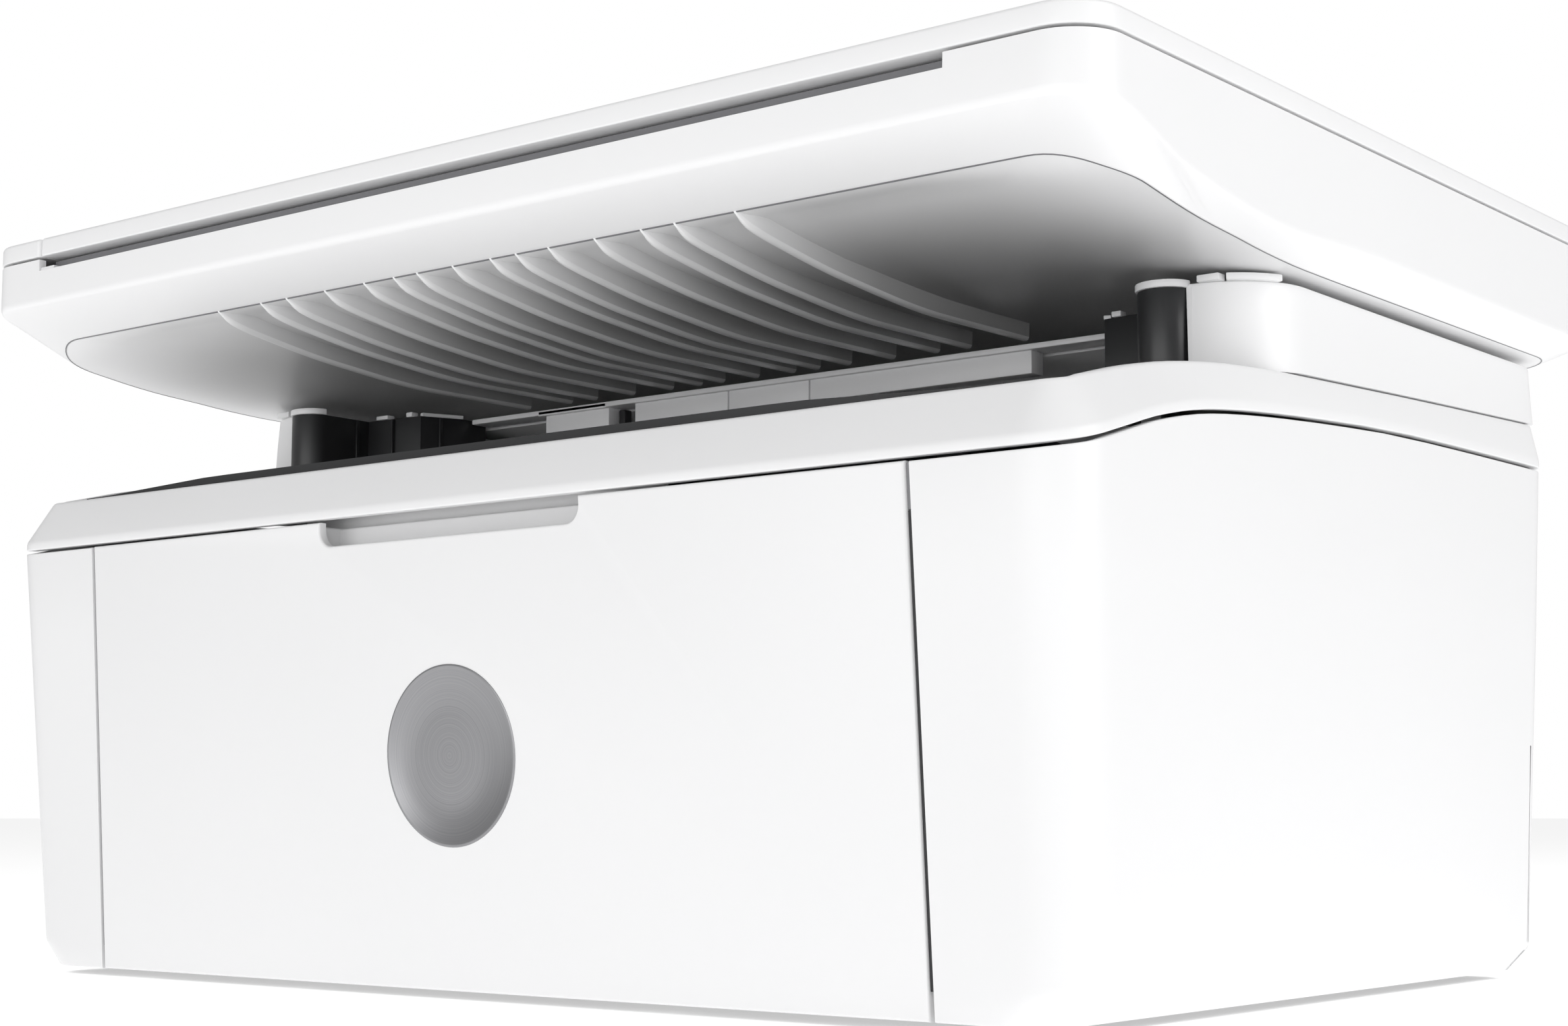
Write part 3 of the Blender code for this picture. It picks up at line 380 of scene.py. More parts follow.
def metal(name, colour=(0.56, 0.57, 0.58), rough=0.37, stretch=(3, 90, 90)):
    """Rolled or drawn metal: fine streaks along one direction."""
    m, nt, p = new_mat(name)
    v = coords(nt, stretch)
    s = noise(nt, 25.0, 6.0, 0.65, v)
    b = noise(nt, 18.0, 3.0, 0.5, coords(nt))
    nt.links.new(ramp(nt, s.outputs["Fac"], [(0.25, shade(colour, 0.86)), (0.75, shade(colour, 1.08))]), p.inputs["Base Color"])
    nt.links.new(remap(nt, b.outputs["Fac"], rough - 0.08, rough + 0.1), p.inputs["Roughness"])
    p.inputs["Metallic"].default_value = 1.0
    bump(nt, p, s.outputs["Fac"], 0.12, 0.00003)
    return m


def board(name, colour):
    """Printed circuit board: solder mask with tracks and pads."""
    m, nt, p = new_mat(name)
    v = coords(nt)
    br = nt.nodes.new("ShaderNodeTexVoronoi")
    br.feature = "DISTANCE_TO_EDGE"
    br.distance = "EUCLIDEAN"
    br.inputs["Scale"].default_value = 140.0
    nt.links.new(v, br.inputs["Vector"])
    dots = nt.nodes.new("ShaderNodeTexVoronoi")
    dots.inputs["Scale"].default_value = 260.0
    nt.links.new(v, dots.inputs["Vector"])
    c1 = ramp(nt, br.outputs["Distance"], [(0.0, shade(colour, 1.7)), (0.06, shade(colour, 1.6)), (0.09, colour)])
    mx = nt.nodes.new("ShaderNodeMix")
    mx.data_type = "RGBA"
    mx.inputs["B"].default_value = (0.7, 0.68, 0.6, 1)
    nt.links.new(c1, mx.inputs["A"])
    nt.links.new(remap(nt, dots.outputs["Distance"], 1.0, 0.0, 0.08, 0.12), mx.inputs["Factor"])
    nt.links.new(mx.outputs["Result"], p.inputs["Base Color"])
    n = noise(nt, 90.0, 3.0, 0.5, v)
    nt.links.new(remap(nt, n.outputs["Fac"], 0.32, 0.5), p.inputs["Roughness"])
    bump(nt, p, br.outputs["Distance"], 0.3, 0.0001)
    return m


def glassy(name):
    m, nt, p = new_mat(name)
    v = coords(nt)
    n = noise(nt, 30.0, 3.0, 0.5, v)
    nt.links.new(ramp(nt, n.outputs["Fac"], [(0.0, (0.86, 0.95, 0.93)), (1.0, (0.9, 0.97, 0.96))]), p.inputs["Base Color"])
    nt.links.new(remap(nt, n.outputs["Fac"], 0.015, 0.04), p.inputs["Roughness"])
    p.inputs["Transmission Weight"].default_value = 0.92
    p.inputs["IOR"].default_value = 1.47
    return m


WHITE_C = (0.86, 0.86, 0.865)
M = {}
M["white"] = plastic("white_gloss", WHITE_C, 0.345, 0.03, 650.0, 0.000006, 0.003, 0.5, 0.12)
M["white_matte"] = plastic("white_satin", (0.84, 0.84, 0.845), 0.5, 0.06, 500.0, 0.00001, 0.01, 0.4, 0.3)
M["charcoal"] = plastic("charcoal_satin", (0.02, 0.0205, 0.022), 0.36, 0.06, 800.0, 0.00003, 0.08, 0.5, 0.4)
M["black"] = plastic("black_plastic", (0.018, 0.018, 0.02), 0.45, 0.08, 700.0, 0.00004, 0.1, 0.45, 0.5)
M["grey_light"] = plastic("grey_light", (0.88, 0.88, 0.89), 0.38, 0.06, 800.0, 0.00003, 0.03, 0.5, 0.35)
M["grey_pocket"] = plastic("grey_pocket", (0.87, 0.87, 0.875), 0.36, 0.05, 800.0, 0.00002, 0.01, 0.5, 0.3)
M["grey_dark"] = plastic("grey_dark", (0.20, 0.20, 0.21), 0.42, 0.06, 800.0, 0.00003, 0.04, 0.5, 0.4)
M["gear"] = plastic("acetal_gear", (0.74, 0.72, 0.66), 0.45, 0.06, 500.0, 0.00003, 0.02, 0.45, 0.3)
M["rubber"] = rubber("rubber_black")
M["rubber_grey"] = rubber("rubber_roller", (0.1, 0.1, 0.105))
M["silicone"] = rubber("silicone_red", (0.36, 0.1, 0.06))
M["cork"] = rubber("friction_pad", (0.22, 0.09, 0.05))
M["steel"] = metal("zinc_plate")
M["rod"] = metal("ground_rod", (0.7, 0.7, 0.71), 0.16, (4, 200, 200))
M["brass"] = metal("brass_pinion", (0.78, 0.6, 0.28), 0.25)
M["heat"] = metal("fuser_sleeve", (0.16, 0.14, 0.13), 0.3)
M["mirror"] = metal("polished_mirror", (0.92, 0.92, 0.93), 0.1, (40, 40, 2))
M["drum"] = plastic("photoconductor", (0.02, 0.2, 0.19), 0.14, 0.04, 300.0, 0.00001, 0.03, 0.6, 0.1)
M["pcb"] = board("circuit_board", (0.01, 0.12, 0.05))
M["pcb_tan"] = board("power_circuit_board", (0.2, 0.11, 0.04))
M["glass"] = glassy("scan_glass_m")
M["screen"] = plastic("display_black", (0.012, 0.012, 0.014), 0.08, 0.03, 300.0, 0.000005, 0.05, 0.6, 0.1)
M["button"] = plastic("button_grey", (0.62, 0.62, 0.63), 0.4, 0.06, 900.0, 0.00002, 0.01, 0.5, 0.3)
M["foam"] = plastic("pad_foam_white", (0.82, 0.82, 0.81), 0.85, 0.04, 900.0, 0.00006, 0.01, 0.2, 0.5)


def badge_mat():
    """Satin metal disc: fine circular turning marks round its centre."""
    m, nt, p = new_mat("badge_metal")
    tc = nt.nodes.new("ShaderNodeTexCoord")
    mp = nt.nodes.new("ShaderNodeMapping")
    mp.inputs["Location"].default_value = (0.0, 0.0, -0.056)
    nt.links.new(tc.outputs["Object"], mp.inputs["Vector"])
    ln = nt.nodes.new("ShaderNodeVectorMath")
    ln.operation = "MULTIPLY"
    ln.inputs[1].default_value = (1.0, 0.0, 1.0)
    nt.links.new(mp.outputs["Vector"], ln.inputs[0])
    le = nt.nodes.new("ShaderNodeVectorMath")
    le.operation = "LENGTH"
    nt.links.new(ln.outputs["Vector"], le.inputs[0])
    cx = nt.nodes.new("ShaderNodeCombineXYZ")
    nt.links.new(le.outputs["Value"], cx.inputs["X"])
    n = noise(nt, 2600.0, 3.0, 0.6, cx.outputs["Vector"])
    nt.links.new(ramp(nt, n.outputs["Fac"], [(0.3, (0.27, 0.27, 0.28)), (0.7, (0.36, 0.36, 0.37))]), p.inputs["Base Color"])
    nt.links.new(remap(nt, n.outputs["Fac"], 0.3, 0.42), p.inputs["Roughness"])
    p.inputs["Metallic"].default_value = 0.9
    bump(nt, p, n.outputs["Fac"], 0.15, 0.00002)
    return m


M["badge"] = badge_mat()


def painted_shade_mat(name="base_painted_shade", shade_depth=0.52, y0=-0.117, y1=-0.05):
    """White plastic of the scanner base with painted shade: the colour of the recess that faces the paper path is
    darkened towards the back, standing in for the shade that falls there.
    """
    m = plastic(name, WHITE_C, 0.345, 0.03, 650.0, 0.000006, 0.003, 0.5, 0.12)
    nt = m.node_tree
    p = nt.nodes["Principled BSDF"]
    src = p.inputs["Base Color"].links[0].from_socket
    tc = nt.nodes.new("ShaderNodeTexCoord")
    sp = nt.nodes.new("ShaderNodeSeparateXYZ")
    nt.links.new(tc.outputs["Object"], sp.inputs["Vector"])
    # mask for the painted shade: it deepens towards the back and covers only the recess below the bevel, inside the
    # sides
    my = remap(nt, sp.outputs["Y"], 0.0, 1.0, y0, y1)
    mz = remap(nt, sp.outputs["Z"], 1.0, 0.0, 0.1745, 0.1765)
    ax = nt.nodes.new("ShaderNodeMath")
    ax.operation = "ABSOLUTE"
    nt.links.new(sp.outputs["X"], ax.inputs[0])
    mx_ = remap(nt, ax.outputs[0], 1.0, 0.0, 0.09, 0.172)
    a = nt.nodes.new("ShaderNodeMath")
    a.operation = "MULTIPLY"
    nt.links.new(my, a.inputs[0])
    nt.links.new(mz, a.inputs[1])
    b = nt.nodes.new("ShaderNodeMath")
    b.operation = "MULTIPLY"
    nt.links.new(a.outputs[0], b.inputs[0])
    nt.links.new(mx_, b.inputs[1])
    k = nt.nodes.new("ShaderNodeMath")
    k.operation = "MULTIPLY_ADD"
    k.inputs[1].default_value = -shade_depth
    k.inputs[2].default_value = 1.0
    nt.links.new(b.outputs[0], k.inputs[0])
    mul = nt.nodes.new("ShaderNodeVectorMath")
    mul.operation = "SCALE"
    nt.links.new(src, mul.inputs[0])
    nt.links.new(k.outputs[0], mul.inputs["Scale"])
    nt.links.new(mul.outputs["Vector"], p.inputs["Base Color"])
    return m


M["base_painted_shade"] = painted_shade_mat()
# rib colours: a lighter white on the rounded lower edges as painted highlight, and the flanks and top darkened towards
# the back as painted shade
M["rib_edge"] = plastic("rib_edges", (0.9, 0.9, 0.905), 0.34, 0.03, 650.0, 0.000006, 0.003, 0.6, 0.12)
M["rib_side"] = painted_shade_mat("rib_flank_painted_shade", 0.42, -0.119, -0.065)

# ---------------------------------------------------------------- mesh helpers


def finish_mesh(name, bm, mat, body, replaces=None, angle=40.0, fix=True):
    if fix:
        bmesh.ops.recalc_face_normals(bm, faces=bm.faces[:])
    me = bpy.data.meshes.new(name)
    bm.to_mesh(me)
    bm.free()
    me.transform(Matrix.Scale(MM, 4))
    o = bpy.data.objects.new(name, me)
    scene.collection.objects.link(o)
    me.materials.append(mat)
    me.shade_smooth()
    me.set_sharp_from_angle(angle=math.radians(angle))
    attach(o, body)
    if replaces:
        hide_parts(replaces)
    return o


def loft_bm(bm, outer, inner, closed, cap=None):
    O = [[bm.verts.new(p) for p in row] for row in outer]
    I = [[bm.verts.new(p) for p in row] for row in inner]
    n = len(outer[0])
    rng = range(n) if closed else range(n - 1)

    def strip(a, b):
        for k in rng:
            j = (k + 1) % n
            bm.faces.new((a[k], a[j], b[j], b[k]))
    for a, b in zip(O, O[1:]):
        strip(a, b)
    for a, b in zip(I, I[1:]):
        strip(b, a)
    strip(I[0], O[0])
    if cap:
        for rows, p in ((O, cap[0]), (I, cap[1])):
            c = bm.verts.new(p)
            for k in range(n):
                bm.faces.new((rows[-1][k], rows[-1][(k + 1) % n], c))
    else:
        strip(O[-1], I[-1])
    if not closed:
        for k in (0, n - 1):
            f = [O[i][k] for i in range(len(O))] + [I[i][k] for i in reversed(range(len(I)))]
            bm.faces.new(f)


def ring_bm(bm, rows):
    """A closed tube whose section is the closed list of rows."""
    R = [[bm.verts.new(p) for p in row] for row in rows]
    n = len(rows[0])
    for i in range(len(R)):
        a, b = R[i], R[(i + 1) % len(R)]
        for k in range(n):
            j = (k + 1) % n
            bm.faces.new((a[k], a[j], b[j], b[k]))


def fillet(rows, radii, n=4, closed=False):
    """Round the section at each row that has a radius, station by station."""
    out = []
    m = len(rows)
    for i, row in enumerate(rows):
        r = radii[i]
        if r <= 0 or (not closed and i in (0, m - 1)):
            out.append(row)
            continue
        prv, nxt = rows[(i - 1) % m], rows[(i + 1) % m]
        new = [[] for _ in range(n + 1)]
        for k, p in enumerate(row):
            P, A, B = Vector(p), Vector(prv[k]), Vector(nxt[k])
            da, db = A - P, B - P
            la, lb = da.length, db.length
            ra, rb = min(r, la * 0.45), min(r, lb * 0.45)
            a = P + da * (ra / la if la else 0)
            b = P + db * (rb / lb if lb else 0)
            for q in range(n + 1):
                t = q / n
                v = a * (1 - t) ** 2 + P * 2 * t * (1 - t) + b * t * t
                new[q].append(tuple(v))
        out.extend(new)
    return out


def linspace(a, b, n):
    return [a + (b - a) * k / (n - 1) for k in range(n)]


def box_bm(bm, x0, x1, y0, y1, z0, z1, bevel=0.3, seg=2):
    tmp = bmesh.new()
    bmesh.ops.create_cube(tmp, size=1.0)
    for v in tmp.verts:
        v.co = (x0 if v.co.x < 0 else x1, y0 if v.co.y < 0 else y1, z0 if v.co.z < 0 else z1)
    if bevel:
        bmesh.ops.bevel(tmp, geom=tmp.edges[:], offset=bevel, segments=seg, affect="EDGES", profile=0.5)
    me = bpy.data.meshes.new("t")
    tmp.to_mesh(me)
    tmp.free()
    bm.from_mesh(me)
    bpy.data.meshes.remove(me)


def prism_bm(bm, pts, lo, hi, axis="Z", bevel=0.0, seg=2):
    def place(p, h):
        return (p[0], p[1], h) if axis == "Z" else ((h, p[0], p[1]) if axis == "X" else (p[0], h, p[1]))
    tmp = bmesh.new()
    a = [tmp.verts.new(place(p, lo)) for p in pts]
    b = [tmp.verts.new(place(p, hi)) for p in pts]
    n = len(pts)
    fa = tmp.faces.new(a)
    fb = tmp.faces.new(b[::-1])
    for i in range(n):
        tmp.faces.new((a[i], b[i], b[(i + 1) % n], a[(i + 1) % n]))
    bmesh.ops.recalc_face_normals(tmp, faces=tmp.faces[:])
    if bevel:
        es = list({e for f in (fa, fb) for e in f.edges})
        bmesh.ops.bevel(tmp, geom=es, offset=bevel, segments=seg, affect="EDGES", profile=0.5)
    me = bpy.data.meshes.new("t")
    tmp.to_mesh(me)
    tmp.free()
    bm.from_mesh(me)
    bpy.data.meshes.remove(me)


def polish(node, mat, width=0.25, seg=2, angle=35.0):
    """A CAD node's own shape with its edges rounded: stands for the node."""
    src = frame["nodes"][node]
    bm = bmesh.new()
    bm.from_mesh(src.data)
    bmesh.ops.remove_doubles(bm, verts=bm.verts[:], dist=2e-6)
    bmesh.ops.dissolve_limit(bm, angle_limit=math.radians(0.6), verts=bm.verts[:], edges=bm.edges[:])
    me = bpy.data.meshes.new(node + "_shape")
    bm.to_mesh(me)
    bm.free()
    o = bpy.data.objects.new(node + "_shape", me)
    scene.collection.objects.link(o)
    md = o.modifiers.new("edge", "BEVEL")
    md.width = width * MM
    md.segments = seg
    md.limit_method = "ANGLE"
    md.angle_limit = math.radians(angle)
    md.miter_outer = "MITER_ARC"
    bpy.context.view_layer.update()
    dg = bpy.context.evaluated_depsgraph_get()
    new = bpy.data.meshes.new_from_object(o.evaluated_get(dg))
    o.modifiers.clear()
    o.data = new
    new.name = node + "_shape"
    new.materials.clear()
    new.materials.append(mat)
    new.shade_smooth()
    new.set_sharp_from_angle(angle=math.radians(38))
    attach(o, src["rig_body"])
    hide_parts(node)
    return o


def keep(node, mat):
    o = frame["nodes"][node]
    if not o.material_slots:
        o.data.materials.append(mat)
    for s in o.material_slots:
        s.material = mat
    return o


# ---------------------------------------------------------------- scanner unit
def strip_z0(x, y):
    """Top edge of the base's wall: lowered along the finger slot, and a little at the back for the lid."""
    if y < -131.0 and LID_X0 <= x <= 145.95:
        return SEAM_Z - 3.5
    return SEAM_Z - 0.3


Y_ST = [-118.0, -111.0, -104.0, -97.0, -90.0, -82.0, -74.0, -66.0, -58.0, -50.0, -42.0, -34.0, -26.0, -18.0, -6.0, 10.0, 30.0, 60.0, 90.0, 115.0]
X_ST = [-165.0, -154.6, -154.5] + linspace(-145.0, 135.0, 29) + [145.9, 146.0, 155.0, 165.0]


def base_rings(inset, up):
    def ring(x0, x1, y0, y1, r):
        f = [(y + 132.0) / 264.0 for y in Y_ST]
        g = [(x + 180.0) / 360.0 for x in X_ST]
        return rrect(x0, x1, y0, y1, r, 14, [y0 + r + (y1 - y0 - 2 * r) * t for t in f], [x0 + r + (x1 - x0 - 2 * r) * t for t in g])
    hx, hy = SCAN_HX - inset, SCAN_HY - inset
    top = []
    full = ring(-hx, hx, -hy, hy, SCAN_R - inset)
    ref = rrect(-180, 180, -132, 132, SCAN_R, 14, Y_ST, X_ST)
    # the wall's stations sit at true x along the front so that the slot's ends are square
    wall = rrect(-hx, hx, -hy, hy, SCAN_R - inset, 14, Y_ST, X_ST)
    for (x, y), (xo, yo) in zip(wall, ref):
        z = strip_z0(xo, yo) - 4.7 * max(0.0, min(1.0, (yo - 125.0) / 2.0))
        top.append((x, y, z))
    low = [(x, y, curve_table(yo, EDGE_Y, EDGE_Z) + up * 0.5) for (x, y), (xo, yo) in zip(wall, ref)]
    rings = [top, low]
    bx = 174.0 - inset * 0.8
    y0, y1, r = -118.0 + inset * 0.6, 121.0 - inset * 0.6, 18.0 - inset * 0.6
    edge = ring(-bx, bx, y0, y1, r)
    rings.append([(x, y, low_z(y) + up) for x, y in edge])
    for k in (0.985, 0.965, 0.94, 0.91, 0.87, 0.82, 0.76, 0.68, 0.58, 0.46, 0.34, 0.2, 0.08):
        rings.append([(x, y, skin_z(x, y) + up) for x, y in ring(-bx * k, bx * k, y0 * k + 2 * (1 - k), y1 * k + 2 * (1 - k), max(1.0, r * k))])
    return rings


def build_base():
    bm = bmesh.new()
    o, i = base_rings(0.0, 0.0), base_rings(WALL, WALL)
    o = fillet(o, [0, 1.6, 0.5] + [0] * (len(o) - 3), 4)
    loft_bm(bm, o, i, True, cap=((0, 2.0, skin_z(0, 2.0)), (0, 2.0, skin_z(0, 2.0) + WALL)))
    o = finish_mesh("scanner_base_shell", bm, M["white"], "scanner_unit", "scanner_base", 50.0)
    o.data.materials.append(M["base_painted_shade"])
    # downward faces of the recess under the scanner base take the second material, which carries the painted shade
    for f in o.data.polygons:
        c = f.center * 1000.0
        if f.normal.z < -0.5 and abs(c.x) < 173.6 and -117.7 < c.y < 120.7 and c.z < 178.0:
            f.material_index = 1
    # hairline where the recessed skin meets the outer cover
    bm = bmesh.new()
    def edge_line(i):
        f = [(y + 132.0) / 264.0 for y in Y_ST]
        g = [(x + 180.0) / 360.0 for x in X_ST]
        x0, x1, y0, y1, r = -174.0 + i, 174.0 - i, -118.0 + i, 121.0 - i, 18.0 - i
        return rrect(x0, x1, y0, y1, r, 14, [y0 + r + (y1 - y0 - 2 * r) * t for t in f], [x0 + r + (x1 - x0 - 2 * r) * t for t in g])
    a_, b_ = edge_line(0.25), edge_line(0.6)
    ring_bm(bm, [[(x, y, low_z(y) - 0.07) for x, y in a_], [(x, y, low_z(y) - 0.07) for x, y in b_],
                 [(x, y, low_z(y) + 0.5) for x, y in b_], [(x, y, low_z(y) + 0.5) for x, y in a_]])
    finish_mesh("skin_hairline", bm, M["grey_dark"], "scanner_unit")
    return o


def build_ribs():
    """Curved paper ribs: each a fin with a rounded lower edge that starts at a point on the front edge."""
    bm = bmesh.new()
    for x in RIB_X:
        st = []
        n = 34
        for k in range(n):
            t = (k / (n - 1)) ** 1.35
            y = -117.8 + 116.2 * t
            z = curve_table(y, RIB_Y, RIB_Z)
            top = max(skin_z(x, y), z) + 1.2
            w = 0.25 + 0.75 * min(1.0, (y + 118.2) / 6.0)
            e, b = 1.25 * w, 1.5 * w
            h = min(0.9, max(0.15, (top - z) * 0.35))
            st.append([(x - b, y, top), (x - e, y, z + h), (x - e * 0.75, y, z + h * 0.3), (x - e * 0.35, y, z), (x + e * 0.35, y, z),
                       (x + e * 0.75, y, z + h * 0.3), (x + e, y, z + h), (x + b, y, top)])
        V = [[bm.verts.new(p) for p in s] for s in st]
        m = len(V[0])
        for a, b2 in zip(V, V[1:]):
            for q in range(m):
                r = (q + 1) % m
                f = bm.faces.new((a[q], a[r], b2[r], b2[q]))
                # flanks and top (faces 0, 6, 7) take the painted shade, the rounded lower edge takes the painted
                # highlight
                f.material_index = 1 if q in (0, 6, 7) else 2
        bm.faces.new(V[0])
        bm.faces.new(V[-1][::-1])
    o = finish_mesh("paper_ribs", bm, M["white"], "scanner_unit", None, 60.0)
    o.data.materials.append(M["rib_side"])
    o.data.materials.append(M["rib_edge"])
    return o


base = build_base()
ribs = build_ribs()

# ledge inside the finger slot
bm = bmesh.new()
box_bm(bm, LID_X0 + 0.2, 145.8, -131.7, -127.0, 188.2, 189.85, 0.25)
box_bm(bm, LID_X0 + 0.1, LID_X0 + 6.0, -131.6, -127.0, 189.6, 190.9, 0.3)
finish_mesh("slot_ledge", bm, M["white"], "scanner_unit")
bm = bmesh.new()
box_bm(bm, LID_X0 + 0.2, 145.8, -126.9, -126.6, 188.0, 193.3, 0.05, 1)
finish_mesh("slot_strip", bm, M["grey_dark"], "scanner_unit")


def plate(name, outline_fn, z0, z1, top_r, bot_r, mat, body, replaces, pocket=None):
    """Flat moulded cover with rounded rim: outline_fn(inset) gives the plan outline."""
    bm = bmesh.new()
    rows = []
    n = 6
    for k in range(n + 1):
        a = math.pi / 2 * k / n
        rows.append([(x, y, z0 + bot_r * (1 - math.sin(a))) for x, y in outline_fn(bot_r * (1 - math.cos(a)))][:])
    rows = rows[::-1]
    for k in range(n + 1):
        a = math.pi / 2 * k / n
        rows.append([(x, y, z1 - top_r * (1 - math.sin(a))) for x, y in outline_fn(top_r * (1 - math.cos(a)))])
    V = [[bm.verts.new(p) for p in r] for r in rows]
    m = len(V[0])
    for a, b in zip(V, V[1:]):
        for k in range(m):
            j = (k + 1) % m
            bm.faces.new((a[k], a[j], b[j], b[k]))
    bm.faces.new(V[0][::-1])
    bm.faces.new(V[-1])
    return bm


def bool_obj(o, cutters, op="DIFFERENCE"):
    for bmc in cutters:
        bmesh.ops.recalc_face_normals(bmc, faces=bmc.faces[:])
        me = bpy.data.meshes.new("c")
        bmc.to_mesh(me)
        bmc.free()
        me.transform(Matrix.Scale(MM, 4))
        c = bpy.data.objects.new("c", me)
        scene.collection.objects.link(c)
        md = o.modifiers.new("b", "BOOLEAN")
        md.operation = op
        md.solver = "EXACT"
        md.object = c
        bpy.context.view_layer.update()
        dg = bpy.context.evaluated_depsgraph_get()
        new = bpy.data.meshes.new_from_object(o.evaluated_get(dg))
        o.modifiers.clear()
        o.data = new
        bpy.data.objects.remove(c, do_unlink=True)
    o.data.shade_smooth()
    o.data.set_sharp_from_angle(angle=math.radians(38))


def cutbox(*a):
    bm = bmesh.new()
    box_bm(bm, *a, bevel=0)
    return bm


def cutcyl(c, r, lo, hi, n=48):
    bm = bmesh.new()
    prism_bm(bm, [(c[0] + r * math.cos(2 * math.pi * k / n), c[1] + r * math.sin(2 * math.pi * k / n)) for k in range(n)], lo, hi, "Z")
    return bm


bool_obj(base, [cutbox(k * 110 - 11.5, k * 110 + 11.5, 122.8, 140.0, 186.9, 200.0) for k in (-1, 1)])
base.data.set_sharp_from_angle(angle=math.radians(50))


def lid_outline(i):
    return rrect(LID_X0 + 0.2 + i, SCAN_HX - i, -SCAN_HY + i, SCAN_HY - i, (SCAN_R - i, SCAN_R - i, max(0.3, 1.3 - i), max(0.3, 1.3 - i)), 14)


def panel_outline(i):
    return rrect(-SCAN_HX + i, LID_X0 - 0.2 - i, -SCAN_HY + i, SCAN_HY - i, (max(0.3, 1.3 - i), max(0.3, 1.3 - i), SCAN_R - i, SCAN_R - i), 14)


lid = finish_mesh("lid_cover", plate("l", lid_outline, SEAM_Z + 0.5, TOP_Z, 1.0, 0.4, None, None, None), M["white"], "lid", "scanner_lid", 38)
bool_obj(lid, [cutbox(-143.0, 168.0, -115.0, 115.0, 180.0, SEAM_Z + 2.6)] +
         [cutbox(s * 110 - 11.8, s * 110 + 11.8, 123.2, 140.0, 187.0, 205.0) for s in (-1, 1)])
PX = -167.5
BUTTONS = (("power_button", 70.0, 5.0), ("wireless_button", -2.0, 4.2), ("cancel_button", -22.0, 4.2), ("copies_button", -42.0, 4.2),
           ("start_button", -66.0, 6.0))
panel = finish_mesh("panel_cover", plate("p", panel_outline, SEAM_Z + 0.5, TOP_Z, 1.0, 0.4, None, None, None), M["white"], "scanner_unit",
                    "control_panel", 38)
bool_obj(panel, [cutcyl((PX, y), r + 0.35, 180.0, 205.0) for _, y, r in BUTTONS] + [cutbox(PX - 8.0, PX + 8.0, 16.0, 52.0, TOP_Z - 1.5, 205.0)])


def disc_bm(bm, c, r, z0, z1, rnd=0.5, dish=0.25, n=48):
    """Button cap: rounded rim and a slightly dished top."""
    prof = [(r, z0)] + [(r - rnd * (1 - math.cos(a)), z1 - rnd * (1 - math.sin(a))) for a in [math.pi / 2 * k / 5 for k in range(6)]]
    prof += [(r * 0.7, z1 - dish * 0.5), (r * 0.4, z1 - dish * 0.9), (r * 0.12, z1 - dish)]
    rings = [[bm.verts.new((c[0] + q * math.cos(2 * math.pi * k / n), c[1] + q * math.sin(2 * math.pi * k / n), z)) for k in range(n)] for q, z in prof]
    for a, b in zip(rings, rings[1:]):
        for k in range(n):
            bm.faces.new((a[k], a[(k + 1) % n], b[(k + 1) % n], b[k]))
    bm.faces.new(rings[0][::-1])
    bm.faces.new(rings[-1])


for nme, y, r in BUTTONS:
    bm = bmesh.new()
    disc_bm(bm, (PX, y), r, 195.4, TOP_Z - 0.1)
    finish_mesh(nme + "_cap", bm, M["button"], nme, nme, 40)
bm = bmesh.new()
box_bm(bm, PX - 7.6, PX + 7.6, 16.4, 51.6, TOP_Z - 1.2, TOP_Z - 0.05, 0.35, 3)
finish_mesh("display_lens", bm, M["screen"], "scanner_unit", "display_window", 40)

# pads under the scanner base where it rests over the pillars
def arc_pad(bm, cx, cy, rx, ry, a0, a1, w, z0, z1, n=14):
    """Pad that follows a rounded corner below it: ring sector from a0 to a1 degrees."""
    outer = [(cx + (rx + 0.5) * math.cos(math.radians(a0 + (a1 - a0) * k / n)), cy + (ry + 0.5) * math.sin(math.radians(a0 + (a1 - a0) * k / n))) for k in range(n + 1)]
    inner = [(cx + (rx - w) * math.cos(math.radians(a0 + (a1 - a0) * k / n)), cy + (ry - w) * math.sin(math.radians(a0 + (a1 - a0) * k / n))) for k in range(n, -1, -1)]
    prism_bm(bm, outer + inner, z0, z1, "Z", 0.25)


bm = bmesh.new()
for s in (1, -1):
    arc_pad(bm, s * 144.5, -42.5, 6.3, 5.7, -175.0, -5.0, 2.2, 159.55, 161.3)
    box_bm(bm, *sorted((s * 153.5, s * 159.0)), -44.2, -41.0, 160.3, 161.9, 0.25, 2)
    if s > 0:
        arc_pad(bm, 151.3, -26.0, 18.6, 18.6, -62.0, -22.0, 2.4, 160.3, 161.9)
    box_bm(bm, *sorted((s * 129.5, s * 134.5)), -26.4, -23.4, 159.5, 160.7, 0.25, 2)
    box_bm(bm, *sorted((s * 120.2, s * 122.8)), -25.2, -22.6, 159.5, 160.9, 0.25, 2)
    prism_bm(bm, [(s * 112.2, -11.8), (s * 117.2, -23.6), (s * 118.8, -23.0), (s * 113.8, -11.2)], 159.5, 160.6, "Z", 0.2)
finish_mesh("rest_pads", bm, M["white"], "chassis")


# ---------------------------------------------------------------- body shells
SIDE_D = [-103.0, -96.0, -90.0, -84.0, -78.0, -72.0, -66.0, -58.0, -50.0, -40.0, -25.0, -10.0, 10.0, 35.0, 60.0, 85.0, 100.0]


